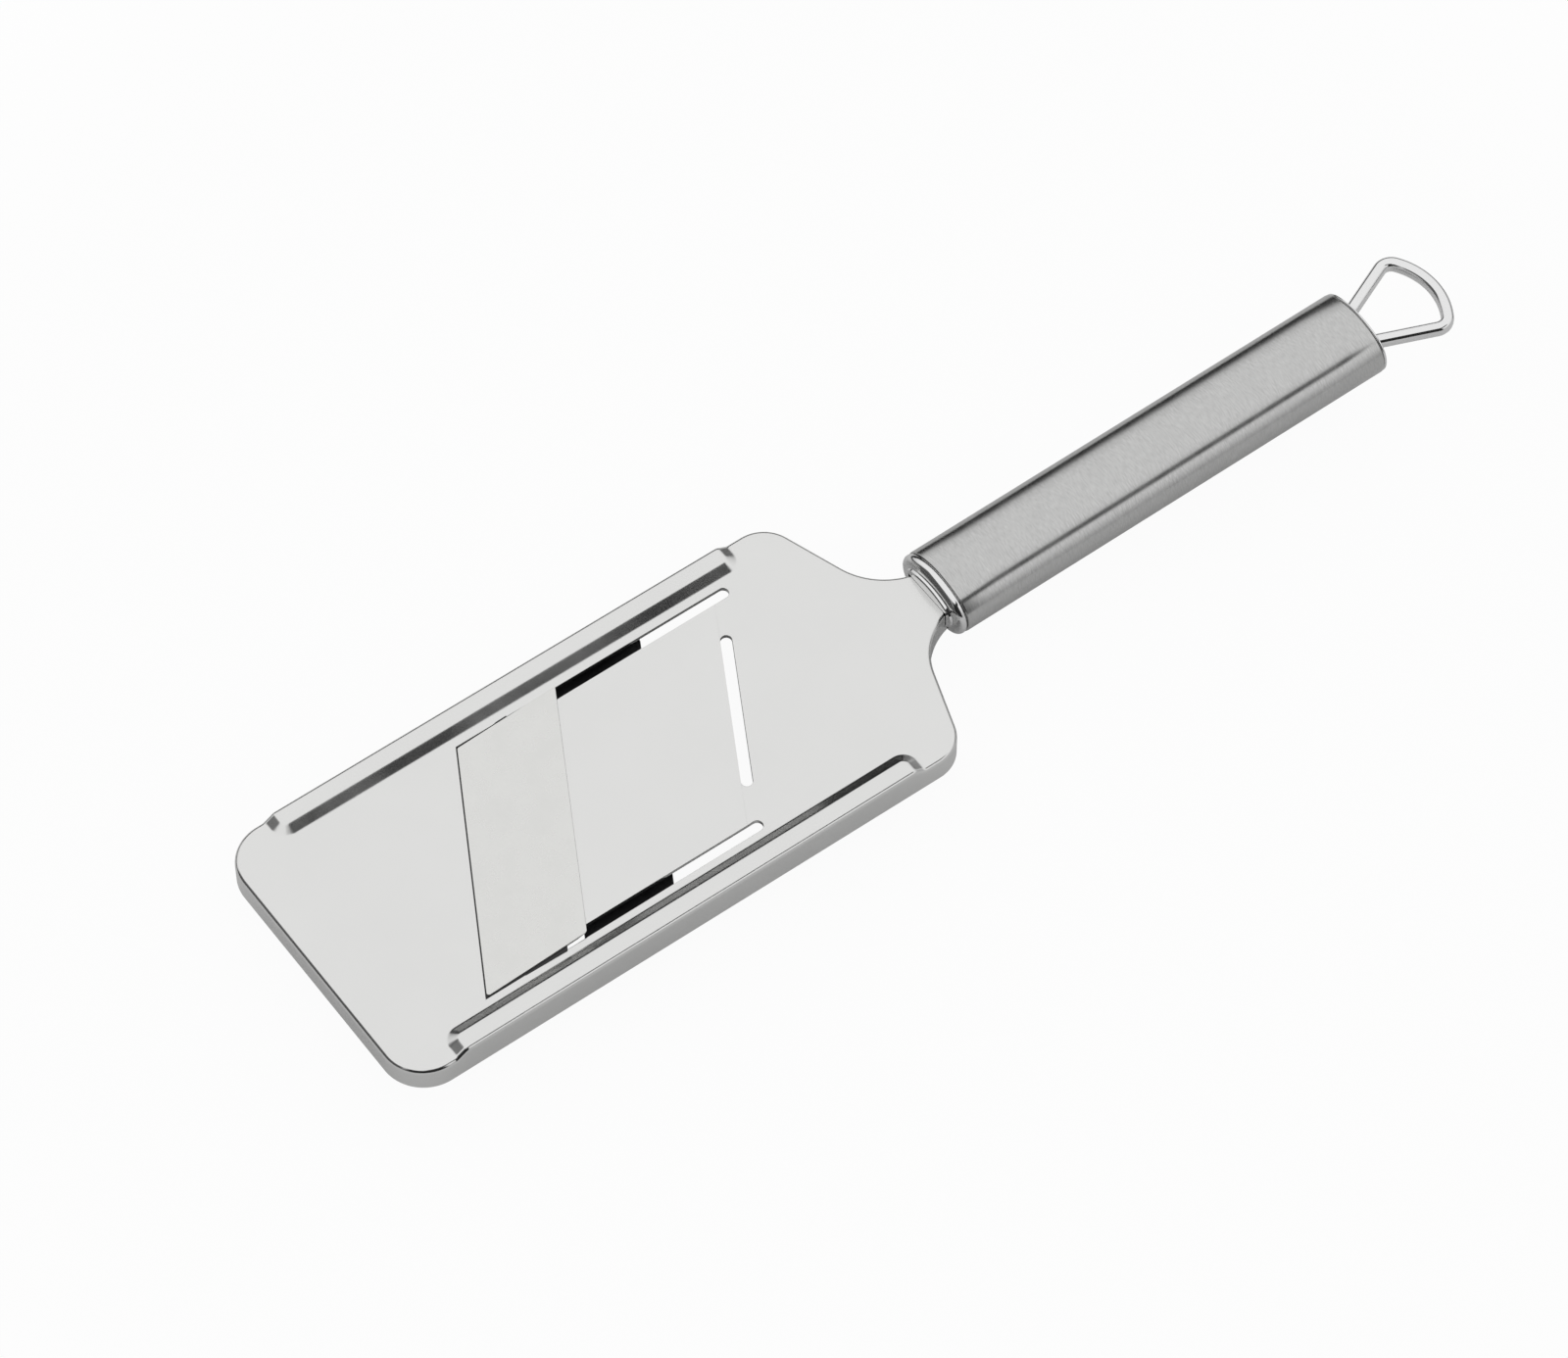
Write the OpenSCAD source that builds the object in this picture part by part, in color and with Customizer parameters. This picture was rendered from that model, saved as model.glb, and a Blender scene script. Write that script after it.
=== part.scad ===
// Hand-held mandoline slicer: pressed steel plate with a spring tongue, skewed blade and tube handle.
// X runs from the tip (negative) to the hanging loop, Y across the plate, Z up from the slicing face.
// The origin lies on the slicing face, on the centre line, level with the handle ends of the rails.

/* [Plate] */
// Length from the tip to the handle ends of the rails
plate_l = 139; // [120:1:170]
// Width over the folded edges
plate_w = 75.8; // [72:0.1:92]
// Thickness of the pressed sheet
sheet_t = 1; // [0.8:0.1:1.2]
// Depth of the folded edge below the slicing face
flange_d = 6.5; // [5.5:0.1:9]
// Outside radius of the fold
edge_r = 1.2; // [1.1:0.1:1.6]
// Corner radius at the tip
tip_corner_r = 10.5; // [6:0.5:16]
// Corner radius where a side meets its shoulder
shoulder_corner_r = 9; // [6:0.5:10]
// Slope of the shoulders from square
shoulder_angle = 19; // [12:1:24]
// Where the shoulder lines would cross the centre line
shoulder_x = 23.2; // [20:0.1:24]
// Width of the neck
neck_w = 12.4; // [12:0.1:13.5]
// Radius of the hollow between shoulder and neck
neck_fillet_r = 17; // [15:0.5:18]

/* [Rails] */
// Height of the rails above the slicing face
rail_h = 1.75; // [1.2:0.05:2]
// Width of a rail from its foot to the outside of the plate
rail_w = 7.6; // [7.4:0.1:8.5]
// Width of the slope on a rail's inner side
rail_slope_w = 1.6; // [1.2:0.1:2]
// Distance from the tip to the tip ends of the rails
rail_tip_gap = 11.9; // [11:0.1:16]
// Corner radius at the ends of the rails
rail_end_r = 3; // [2.5:0.1:4]

/* [Cutting window] */
// Skew of the blade and tongue from square
skew = 29; // [22:0.5:32]
// Distance between the centre lines of the two long slots
slot_span = 55; // [44:0.5:56]
// Width of the long slots
slot_w = 2.8; // [2.2:0.1:3.4]
// Where the skewed line through the slot ends crosses the centre line
slot_end_x = -22.4; // [-26:0.1:-21]
// Where the relief slot crosses the centre line
relief_x = -24.9; // [-28:0.1:-24.5]
// Width of the relief slot
relief_w = 2.7; // [2:0.1:3.2]
// Length of the relief slot, measured across the plate
relief_span = 36; // [28:0.5:38]

/* [Blade] */
// Where the back edge of the blade crosses the centre line
blade_back_x = -96.7; // [-100:0.1:-92]
// Width of the blade strip, measured along the plate
blade_w = 26.7; // [24:0.1:28]
// Thickness of the blade
blade_t = 0.7; // [0.5:0.05:0.9]
// Height of the cutting edge above the slicing face
blade_rise = 1.3; // [1:0.1:1.8]
// Width of the ground bevel under the cutting edge
bevel_w = 2.5; // [2:0.1:3]
// Thickness left at the cutting edge
edge_t = 0.1; // [0.05:0.05:0.2]
// Clearance round the back and the ends of the blade
blade_gap = 0.3; // [0.2:0.05:0.5]
// Width of the lip that carries the back of the blade
lip_w = 4.4; // [3:0.1:6]

/* [Adjuster] */
// Where the adjuster screw crosses the slicing face
screw_x = -58.5; // [-62:0.1:-56]
// Diameter of the adjuster screw
screw_d = 5; // [4:0.5:6]
// Width of the bridge strip, measured along the plate
bridge_w = 24; // [20:0.5:26]
// Thickness of the bridge strip
bridge_t = 1.2; // [1:0.1:1.5]
// Depth of the top of the bridge below the slicing face
bridge_depth = 4.5; // [4.4:0.1:5]
// Width across the flats of the bridge nut
nut_af = 9; // [8:0.5:11]
// Height of the bridge nut
nut_h = 3; // [2.5:0.5:4]
// Diameter of the pressure pad under the tongue
pad_d = 8; // [7:0.5:10]
// Height of the pressure pad
pad_h = 1.45; // [1.3:0.05:1.5]
// Diameter of the adjuster knob
knob_d = 24; // [18:1:30]
// Height of the adjuster knob
knob_h = 7.5; // [6:0.5:10]
// Number of finger grooves round the knob
knob_grooves = 12; // [8:1:16]

/* [Handle] */
// Length of the handle tube
tube_l = 120.2; // [100:1:140]
// Width of the handle tube
tube_w = 22.9; // [21:0.1:26]
// Height of the handle tube
tube_h = 15.6; // [15:0.1:17]
// Radius of the tube's narrow sides
tube_side_r = 6.8; // [6:0.1:7.2]
// Wall of the handle tube
tube_wall = 0.9; // [0.8:0.1:1.2]
// Where the front end of the tube stands
tube_x = 31.5; // [30:0.1:33]
// Depth of the tube's centre below the slicing face at its front end
tube_drop = 1.75; // [1:0.05:2.2]
// Rise of the handle towards its rear end
tube_tilt = 1.2; // [0:0.1:3]
// Length of the ferrule in front of the tube
ferrule_l = 3.2; // [2.5:0.1:4]
// Height of the dome on the rear cap
cap_dome = 1.6; // [1:0.1:2.5]

/* [Hanging loop] */
// Width of the loop wire
wire_w = 3; // [2.6:0.1:3.2]
// Height of the loop wire
wire_h = 3.3; // [2.8:0.1:3.6]
// Length of the loop behind the tube
loop_l = 24.6; // [22:0.1:30]
// Distance between the legs at the cap, centre to centre
leg_span = 9.6; // [9:0.1:11]
// Splay of each leg from straight back
leg_splay = 23; // [18:1:26]
// Bend radius at the loop corners
loop_corner_r = 3.2; // [2.6:0.1:4]
// Bend radius of the loop's end bar
loop_end_r = 17; // [14:0.5:24]

/* [Hidden] */
$fn = 72;

eps = 0.01;
half_w = plate_w / 2;
fold_steps = 4;
// Half width of the window, to the outer sides of the long slots
window_half = (slot_span + slot_w) / 2;
// Half width of the tongue, to the inner sides of the long slots
tongue_half = (slot_span - slot_w) / 2;
tilt_t = tan(skew);
// Gap between the tongue and the ligaments that it bends on
hinge_gap = 0.05;
// Length of the land between the ligaments and the rest of the plate, with its lap onto the plate
land_l = 6;
// How far the lip under the blade laps the plate behind the blade and beside it
lip_back = 2.5;
lip_side = 0.6;
// How far the tongue reaches under the cutting edge
tongue_lap = 0.5;
edge_x = blade_back_x + blade_w;
hinge_x = relief_x - relief_w / 2 / cos(skew);
blade_half = window_half - 1.5 * blade_gap;
blade_strip = blade_w * cos(skew);
blade_tilt = asin(blade_rise / blade_strip);
rail_foot = half_w - rail_w;
rail_l = plate_l - rail_tip_gap;
tang_l = 9;
fit_gap = 0.15;
run_gap = 0.05;
pad_gap = 0.15;
screw_r = screw_d / 2 - 0.1;
pad_top = -sheet_t - pad_gap;
pad_socket = 0.8;
bridge_top = -bridge_depth;
bridge_floor = bridge_top - bridge_t;
washer_t = 0.5;
nut_top = bridge_floor - washer_t;
nut_floor = nut_top - nut_h;
// Clearance of the bridge from the inside of the folded edges and of the rails
bridge_gap = 0.3;
// How much of the bridge's acute corners is cut off square
bridge_trim = 1.5;
// Clearance round the screw in the bridge and in the washer
screw_play = 0.4;
// How far the washer reaches past the flats of the nut
washer_rim = 1.5;
// Room above the knob for the screw to rise
knob_gap = 1.2;
knob_top = nut_floor - knob_gap;
insert_r = screw_d / 2 + 2;
knob_wall = 1.5;
cap_t = 1.2;
spigot_l = 8;
spigot_wall = 1.3;
// Where the hollow behind the ferrule's front wall begins, from the tube's end
ferrule_face = 0.6;
wire_r = 1.1;

// A point on the plate moved along the skew: x on the centre line, y across
function skewed(x, y) = [x + y * tilt_t, y];
// A skewed parallelogram between two stations on the centre line
function slanted(x0, x1, half) = [
  skewed(x0, -half), skewed(x1, -half), skewed(x1, half), skewed(x0, half)
];

// ---------- Outlines ----------

// Plan outline of the plate, moved inwards by inset
module plate_outline(inset = 0) {
  w = half_w - inset;
  rt = tip_corner_r - inset;
  r1 = shoulder_corner_r - inset;
  r2 = neck_fillet_r + inset;
  hn = neck_w / 2 - inset;
  n = [cos(shoulder_angle), sin(shoulder_angle)];
  d = shoulder_x * n.x - inset;
  c1 = [(d - r1 - (w - r1) * n.y) / n.x, w - r1];
  c2 = [(d + r2 - (hn + r2) * n.y) / n.x, hn + r2];
  tip = -plate_l + inset;
  neck_end = tube_x + tang_l;
  difference() {
    union() {
      translate([tip + rt, -w]) square([c1.x - tip - rt, 2 * w]);
      translate([tip, -w + rt]) square([rt + eps, 2 * (w - rt)]);
      for (s = [-1, 1]) {
        translate([tip + rt, s * (w - rt)]) circle(rt);
        translate([c1.x, s * c1.y]) circle(r1);
      }
      polygon([
        [c1.x - eps, -w], c1 * [[1, 0], [0, -1]] + r1 * [n.x, -n.y], [c2.x - r2 * n.x, -c2.y + r2 * n.y],
        [c2.x, -hn], [neck_end, -hn], [neck_end, hn], [c2.x, hn],
        c2 - r2 * n, c1 + r1 * n, [c1.x - eps, w]
      ]);
    }
    for (s = [-1, 1]) {
      translate([c2.x, s * c2.y]) circle(r2);
    }
  }
}

// Plan outline of one rail on the far side, its foot moved inwards by inset
module rail_outline(inset = 0) {
  r = rail_end_r - inset;
  x0 = -rail_l + inset;
  x1 = -inset;
  y0 = rail_foot + inset;
  translate([x0 + r, y0]) square([x1 - x0 - 2 * r, half_w - y0]);
  translate([x0, y0 + r]) square([x1 - x0, half_w - y0 - r]);
  translate([x0 + r, y0 + r]) circle(r);
  translate([x1 - r, y0 + r]) circle(r);
}

// Oval section of the handle, in the Y-Z plane drawn on X-Y, moved inwards by inset: four tangent arcs,
// each given as its centre, its radius, the angles between which it runs and its number of chords
module oval(inset = 0) {
  cy = tube_w / 2 - tube_side_r;
  h = tube_h / 2;
  top_r = (cy * cy + h * h - tube_side_r * tube_side_r) / (2 * (h - tube_side_r));
  a = atan2(cy, top_r - h);
  arcs = [
    [[cy, 0], tube_side_r, a - 90, 90 - a, 16], [[0, h - top_r], top_r, 90 - a, 90 + a, 8],
    [[-cy, 0], tube_side_r, 90 + a, 270 - a, 16], [[0, top_r - h], top_r, 270 - a, 270 + a, 8]
  ];
  polygon([
    for (arc = arcs, k = [0:arc[4] - 1])
      let (t = arc[2] + (arc[3] - arc[2]) * k / arc[4]) arc[0] + (arc[1] - inset) * [cos(t), sin(t)]
  ]);
}

// Places a shape that is drawn on X-Y and extruded along Z so that it runs along the handle
module along_handle(x = 0) {
  translate([tube_x, 0, -tube_drop]) rotate([0, -tube_tilt, 0]) translate([x, 0, 0])
    rotate([90, 0, 90]) children();
}

// ---------- Plate ----------

// Outside of the pressed shell, moved inwards by inset: a flat pan with a rounded rim
module pan(inset, top, rim_r) {
  translate([0, 0, -flange_d - eps * inset]) linear_extrude(flange_d + top - rim_r + eps * inset) {
    plate_outline(inset);
  }
  for (i = [1:fold_steps]) {
    a0 = 90 * (i - 1) / fold_steps;
    a1 = 90 * i / fold_steps;
    translate([0, 0, top - rim_r - eps]) linear_extrude(rim_r * sin(a1) + eps) {
      plate_outline(inset + rim_r * (1 - cos((a0 + a1) / 2)));
    }
  }
}

// One rail with sloped sides, moved inwards by inset, its rim rounded like the pan's
module rail(inset, top) {
  for (i = [1:fold_steps]) {
    step = i / fold_steps;
    slope = rail_slope_w * (step - 0.5 / fold_steps);
    rim = edge_r * (1 - cos(90 * (i - 0.5) / fold_steps));
    translate([0, 0, -sheet_t]) linear_extrude(sheet_t + top - rail_h * (1 - step)) {
      intersection() {
        rail_outline(inset + slope);
        plate_outline(inset + (inset > 0 ? 0 : rim));
      }
    }
  }
}

// Everything that is cut out of the sheet for the blade, the tongue and the slots
module window() {
  translate([0, 0, -flange_d]) linear_extrude(2 * flange_d) {
    intersection() {
      polygon(slanted(blade_back_x - blade_gap / cos(skew), slot_end_x - slot_w / 2 / cos(skew), window_half));
      translate([-plate_l, -window_half]) square([plate_l, 2 * window_half]);
    }
    for (s = [-1, 1]) {
      translate(skewed(slot_end_x - slot_w / 2 / cos(skew), s * slot_span / 2)) circle(slot_w / 2);
    }
  }
}

// The part of the window that stays sheet: the ligaments and the land behind the relief slot
module land() {
  translate([0, 0, -sheet_t]) linear_extrude(sheet_t) {
    intersection() {
      difference() {
        polygon(slanted(hinge_x + hinge_gap, slot_end_x + land_l, tongue_half));
        relief_outline();
      }
      plate_outline(sheet_t);
    }
  }
}

// Plan outline of the relief slot
module relief_outline() {
  run = (relief_span - relief_w) / cos(skew);
  translate([relief_x, 0]) rotate(-skew) {
    square([relief_w, run], center = true);
    for (s = [-1, 1]) {
      translate([0, s * run / 2]) circle(relief_w / 2);
    }
  }
}

// Tilts a flat shape round the back edge of the blade, as the blade and its lip lie
module on_blade_slope() {
  translate([blade_back_x, 0, -blade_t]) rotate([0, 0, -skew]) rotate([0, -blade_tilt, 0])
    rotate([0, 0, skew]) children();
}

// The lip under the back edge of the blade
module lip() {
  on_blade_slope() translate([0, 0, -sheet_t]) linear_extrude(sheet_t) {
    polygon(slanted(-lip_back, lip_w / cos(skew), window_half + lip_side));
  }
}

module slicer_plate() {
  color("gainsboro") {
    difference() {
      union() {
        pan(0, 0, edge_r);
        for (s = [0, 1]) {
          mirror([0, s, 0]) rail(0, rail_h);
        }
      }
      pan(sheet_t, -sheet_t, edge_r - sheet_t + eps);
      for (s = [0, 1]) {
        mirror([0, s, 0]) translate([0, 0, -sheet_t]) rail(sheet_t, rail_h);
      }
      window();
    }
    land();
    lip();
  }
}

module cutting_tongue() {
  color("gainsboro") {
    translate([0, 0, -sheet_t]) linear_extrude(sheet_t) {
      polygon(slanted(edge_x - tongue_lap / cos(skew), hinge_x, tongue_half));
    }
  }
}

module blade() {
  color("silver") {
    difference() {
      on_blade_slope() linear_extrude(blade_t) polygon(slanted(0, blade_w, blade_half));
      translate([blade_back_x, 0, -blade_t]) rotate([0, 0, -skew]) rotate([0, -blade_tilt, 0])
        translate([0, plate_w, 0]) rotate([90, 0, 0]) linear_extrude(2 * plate_w) {
          polygon([
            [blade_strip - bevel_w, -eps], [blade_strip + 1, -eps],
            [blade_strip + 1, blade_t - edge_t], [blade_strip, blade_t - edge_t]
          ]);
        }
    }
  }
}

// ---------- Adjuster ----------

module adjuster_bridge() {
  reach = half_w - sheet_t - bridge_gap;
  riser = rail_foot + rail_slope_w + sheet_t + bridge_gap;
  x0 = screw_x - bridge_w / 2;
  x1 = screw_x + bridge_w / 2;
  trim = bridge_w / 2 + riser * tilt_t - bridge_trim;
  foot_top = rail_h - sheet_t;
  color("dimgray") {
    difference() {
      intersection() {
        union() {
          translate([0, 0, bridge_floor]) linear_extrude(bridge_t) {
            polygon(slanted(x0, x1, riser + bridge_t));
          }
          for (s = [-1, 1]) {
            intersection() {
              translate([0, 0, bridge_floor]) linear_extrude(foot_top - bridge_floor) {
                polygon(slanted(x0, x1, riser + bridge_t));
              }
              translate([-plate_l, s * (riser + bridge_t / 2) - bridge_t / 2, bridge_floor])
                cube([plate_l, bridge_t, foot_top - bridge_floor]);
            }
            intersection() {
              translate([0, 0, foot_top - bridge_t]) linear_extrude(bridge_t) {
                polygon(slanted(x0, x1, reach));
              }
              translate([-plate_l, s * (riser + reach) / 2 - (reach - riser) / 2, foot_top - bridge_t])
                cube([plate_l, reach - riser, bridge_t]);
            }
          }
        }
        translate([screw_x - trim, -half_w, -flange_d]) cube([2 * trim, plate_w, 2 * flange_d]);
      }
      translate([screw_x, 0, bridge_floor - 1]) cylinder(r = screw_d / 2 + screw_play, h = bridge_t + 2);
    }
  }
}

module nut_washer() {
  color("silver") {
    translate([screw_x, 0, nut_top]) difference() {
      cylinder(r = nut_af / 2 + washer_rim, h = washer_t);
      translate([0, 0, -1]) cylinder(r = screw_d / 2 + screw_play, h = washer_t + 2);
    }
  }
}

module bridge_nut() {
  color("silver") {
    translate([screw_x, 0, nut_floor]) difference() {
      cylinder(d = nut_af / cos(30), h = nut_h, $fn = 6);
      translate([0, 0, -1]) cylinder(r = screw_r + run_gap, h = nut_h + 2);
    }
  }
}

module pressure_pad() {
  dome_h = 0.35;
  dome_r = (pad_d * pad_d / 4 + dome_h * dome_h) / (2 * dome_h);
  color("whitesmoke") {
    translate([screw_x, 0, pad_top - pad_h]) difference() {
      intersection() {
        cylinder(d = pad_d, h = pad_h);
        translate([0, 0, pad_h - dome_r]) sphere(dome_r, $fn = 180);
      }
      translate([0, 0, -1]) cylinder(r = screw_r + run_gap, h = pad_socket + 1);
    }
  }
}

module adjuster_screw() {
  tip = pad_top - pad_h + pad_socket - run_gap;
  foot = knob_top - knob_h + knob_wall + cap_t;
  color("silver") {
    translate([screw_x, 0, foot]) cylinder(r = screw_r, h = tip - foot);
  }
}

module knob_insert() {
  foot = knob_top - knob_h + knob_wall + cap_t;
  color("goldenrod") {
    translate([screw_x, 0, foot]) difference() {
      cylinder(r = insert_r, h = knob_top - foot);
      translate([0, 0, -1]) cylinder(r = screw_r, h = knob_h);
    }
  }
}

module adjuster_knob() {
  r = knob_d / 2;
  groove_r = r * 0.16;
  foot = knob_top - knob_h + knob_wall + cap_t;
  cap_r = insert_r + 2;
  color("#1c1c1e") {
    translate([screw_x, 0, knob_top]) difference() {
      union() {
        translate([0, 0, -knob_h + 1]) cylinder(r = r, h = knob_h - 2);
        translate([0, 0, -1]) cylinder(r1 = r, r2 = r - 1, h = 1);
        translate([0, 0, -knob_h]) cylinder(r1 = r - 1, r2 = r, h = 1);
      }
      for (i = [0:knob_grooves - 1]) {
        rotate([0, 0, 360 * i / knob_grooves]) translate([r + groove_r * 0.45, 0, -knob_h - 1])
          cylinder(r = groove_r, h = knob_h + 2);
      }
      translate([0, 0, foot - knob_top - 0.2]) cylinder(r = insert_r, h = knob_h);
      translate([0, 0, -knob_h - 1]) cylinder(r = cap_r, h = cap_t + 1);
    }
  }
}

module knob_cap() {
  color("#2a2a2c") {
    translate([screw_x, 0, knob_top - knob_h]) cylinder(r = insert_r + 2 - run_gap, h = cap_t);
  }
}

// ---------- Handle ----------

module handle_tube() {
  color("silver") {
    along_handle() linear_extrude(tube_l) {
      difference() {
        oval();
        oval(tube_wall);
      }
    }
  }
}

// The opening that the neck of the plate passes through, made deeper below by deep
module neck_opening(deep = 0) {
  floor = -flange_d - fit_gap - deep;
  translate([0, 0, floor]) linear_extrude(fit_gap - floor) plate_outline(-fit_gap);
}

module front_ferrule() {
  steps = 3;
  lip_r = 1.3;
  color("lightgray") {
    difference() {
      union() {
        along_handle(-ferrule_l + lip_r) linear_extrude(ferrule_l - lip_r) oval(0.35);
        for (i = [1:steps]) {
          a = 90 * (i - 0.5) / steps;
          along_handle(-ferrule_l + lip_r - lip_r * sin(90 * i / steps))
            linear_extrude(lip_r * sin(90 * i / steps) + eps) oval(0.35 + lip_r * (1 - cos(a)));
        }
        along_handle() linear_extrude(spigot_l) oval(tube_wall + run_gap);
      }
      along_handle(ferrule_face) linear_extrude(spigot_l) oval(tube_wall + spigot_wall);
      neck_opening();
    }
  }
}

// Filler welded round the tang inside the ferrule
module tang_block() {
  color("gray") {
    difference() {
      along_handle(ferrule_face) linear_extrude(spigot_l - ferrule_face) oval(tube_wall + spigot_wall + run_gap);
      neck_opening(tube_h);
    }
  }
}

module rear_cap() {
  steps = 4;
  rim = 0.8;
  color("lightgray") {
    difference() {
      union() {
        along_handle(tube_l) linear_extrude(rim) oval(0.25);
        for (i = [1:steps]) {
          z1 = cap_dome * i / steps;
          along_handle(tube_l + rim - eps) linear_extrude(z1 + eps)
            oval(0.25 + 0.9 * (tube_h / 2) * pow((i - 0.5) / steps, 2));
        }
        along_handle(tube_l - spigot_l) linear_extrude(spigot_l + eps) oval(tube_wall + run_gap);
      }
      loop_legs(run_gap);
    }
  }
}

// Section of the loop wire, grown by grow: a rounded rectangle, wide across and high along
function wire_points(grow = 0) = [
  for (corner = [[1, 1], [-1, 1], [-1, -1], [1, -1]], k = [0:3])
    let (t = atan2(corner.y, corner.x) + 30 * k - 45)
      [corner.x * (wire_w / 2 - wire_r), corner.y * (wire_h / 2 - wire_r)] + (wire_r + grow) * [cos(t), sin(t)]
];

// Stations of the loop in its own plane: x behind the tube's rear end, y across
leg_dir = [cos(leg_splay), sin(leg_splay)];
leg_side = [-sin(leg_splay), cos(leg_splay)];
end_centre = [loop_l - wire_w / 2 - loop_end_r, 0];
leg_foot = [2.4, leg_span / 2];
leg_root = 4;
// The corner circle touches the leg's line on one side and the end arc from inside
corner_offset = leg_foot - loop_corner_r * leg_side - end_centre;
corner_b = corner_offset * leg_dir;
corner_c = corner_offset * corner_offset - pow(loop_end_r - loop_corner_r, 2);
corner_s = sqrt(corner_b * corner_b - corner_c) - corner_b;
corner = end_centre + corner_offset + corner_s * leg_dir;
corner_angle = atan2(corner.y, corner.x - end_centre.x);
leg_angle = 90 + leg_splay;
bend_steps = 8;
end_steps = 18;

// A station on an arc: its centre, radius and the angle of the outward normal
function on_arc(centre, r, a) = [centre + r * [cos(a), sin(a)], a];
// The stations from one leg's root round to the other's, each a point and the angle of its outward normal
function loop_stations() = let (
  leg = [[leg_foot - leg_root * leg_dir, leg_angle]],
  bend = [
    for (k = [0:bend_steps])
      on_arc(corner, loop_corner_r, leg_angle + (corner_angle - leg_angle) * k / bend_steps)
  ],
  bar = [
    for (k = [1:end_steps - 1]) on_arc(end_centre, loop_end_r, corner_angle * (1 - 2 * k / end_steps))
  ],
  side = concat(leg, bend),
  n = len(side)
) concat(side, bar, [for (k = [n - 1:-1:0]) [[side[k][0].x, -side[k][0].y], -side[k][1]]]);

// Moves the loop's own plane to the rear end of the handle
module at_loop() {
  translate([tube_x, 0, -tube_drop]) rotate([0, -tube_tilt, 0]) translate([tube_l, 0, 0]) children();
}

// The stretch of both legs that stands in the cap, grown by grow
module loop_legs(grow) {
  at_loop() for (s = [0, 1]) {
    mirror([0, s, 0]) translate([leg_foot.x, leg_foot.y, 0]) rotate([0, 0, leg_splay])
      translate([-leg_root - grow, 0, 0]) rotate([90, 0, 90]) linear_extrude(3 * leg_root)
        polygon(wire_points(grow));
  }
}

module hanging_loop() {
  section = wire_points();
  stations = loop_stations();
  n = len(section);
  m = len(stations);
  points = [
    for (st = stations, p = section) [st[0].x + p.x * cos(st[1]), st[0].y + p.x * sin(st[1]), p.y]
  ];
  walls = [
    for (i = [0:m - 2], k = [0:n - 1])
      [i * n + k, i * n + (k + 1) % n, (i + 1) * n + (k + 1) % n, (i + 1) * n + k]
  ];
  ends = [[for (k = [n - 1:-1:0]) k], [for (k = [0:n - 1]) (m - 1) * n + k]];
  color("lightgray") at_loop() polyhedron(points, concat(walls, ends));
}

slicer_plate();
cutting_tongue();
blade();
adjuster_bridge();
bridge_nut();
nut_washer();
adjuster_screw();
pressure_pad();
knob_insert();
adjuster_knob();
knob_cap();
handle_tube();
front_ferrule();
tang_block();
rear_cap();
hanging_loop();
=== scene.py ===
"""Looks of a hand-held mandoline slicer, built round its packed construction model.

Everything is in metres. X runs from the plate's tip to the hanging loop, Y across the plate and Z up from
the slicing face; the origin is on the slicing face, level with the handle ends of the rails.
"""

import math

import bmesh
import bpy
from bpy.props import FloatProperty, FloatVectorProperty, IntProperty, PointerProperty
from mathutils import Matrix, Vector


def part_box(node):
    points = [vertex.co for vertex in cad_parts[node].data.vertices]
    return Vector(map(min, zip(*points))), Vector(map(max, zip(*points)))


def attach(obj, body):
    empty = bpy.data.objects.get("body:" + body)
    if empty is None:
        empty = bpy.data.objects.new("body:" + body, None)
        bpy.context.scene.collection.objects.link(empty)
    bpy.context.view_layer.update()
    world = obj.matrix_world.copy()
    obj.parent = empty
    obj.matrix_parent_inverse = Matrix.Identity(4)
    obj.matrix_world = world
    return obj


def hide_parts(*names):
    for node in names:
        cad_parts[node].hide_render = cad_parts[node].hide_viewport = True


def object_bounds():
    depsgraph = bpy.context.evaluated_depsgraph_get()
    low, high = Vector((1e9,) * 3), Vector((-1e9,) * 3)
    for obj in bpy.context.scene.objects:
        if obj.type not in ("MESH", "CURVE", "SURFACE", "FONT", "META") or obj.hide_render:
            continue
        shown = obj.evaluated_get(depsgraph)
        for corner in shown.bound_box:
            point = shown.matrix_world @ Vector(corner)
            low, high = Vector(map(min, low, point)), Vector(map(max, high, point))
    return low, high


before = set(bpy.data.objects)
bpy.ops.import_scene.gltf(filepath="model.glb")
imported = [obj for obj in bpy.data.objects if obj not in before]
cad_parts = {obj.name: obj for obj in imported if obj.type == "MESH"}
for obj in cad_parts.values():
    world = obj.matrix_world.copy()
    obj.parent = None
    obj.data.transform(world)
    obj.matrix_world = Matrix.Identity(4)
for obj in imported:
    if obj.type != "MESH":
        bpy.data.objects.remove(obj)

bl_info = {
    "name": "Mandoline slicer",
    "version": (1, 0, 0),
    "blender": (4, 5, 0),
    "location": "3D View > Sidebar > Slicer",
    "description": "Builds the pieces, finishes and studio of a hand-held mandoline slicer",
    "category": "Object",
}

MM = 0.001
CAD_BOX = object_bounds()


def size(name, description, default_mm, low=0.0):
    """A length property whose default is given in millimetres."""
    return FloatProperty(
        name=name, description=description, default=default_mm * MM, min=low, unit="LENGTH", precision=5
    )


def angle(name, description, degrees):
    """An angle property whose default is given in degrees."""
    return FloatProperty(name=name, description=description, default=math.radians(degrees), subtype="ANGLE")


def colour(name, description, default):
    """A linear colour property."""
    return FloatVectorProperty(
        name=name, description=description, default=default, size=3, min=0.0, max=1.0, subtype="COLOR"
    )


def span(node, axis):
    """Lowest and highest place of a construction node along one axis, in millimetres."""
    low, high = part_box(node)
    return low[axis] / MM, high[axis] / MM


# ---------------------------------------------------------------- sizes


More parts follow.
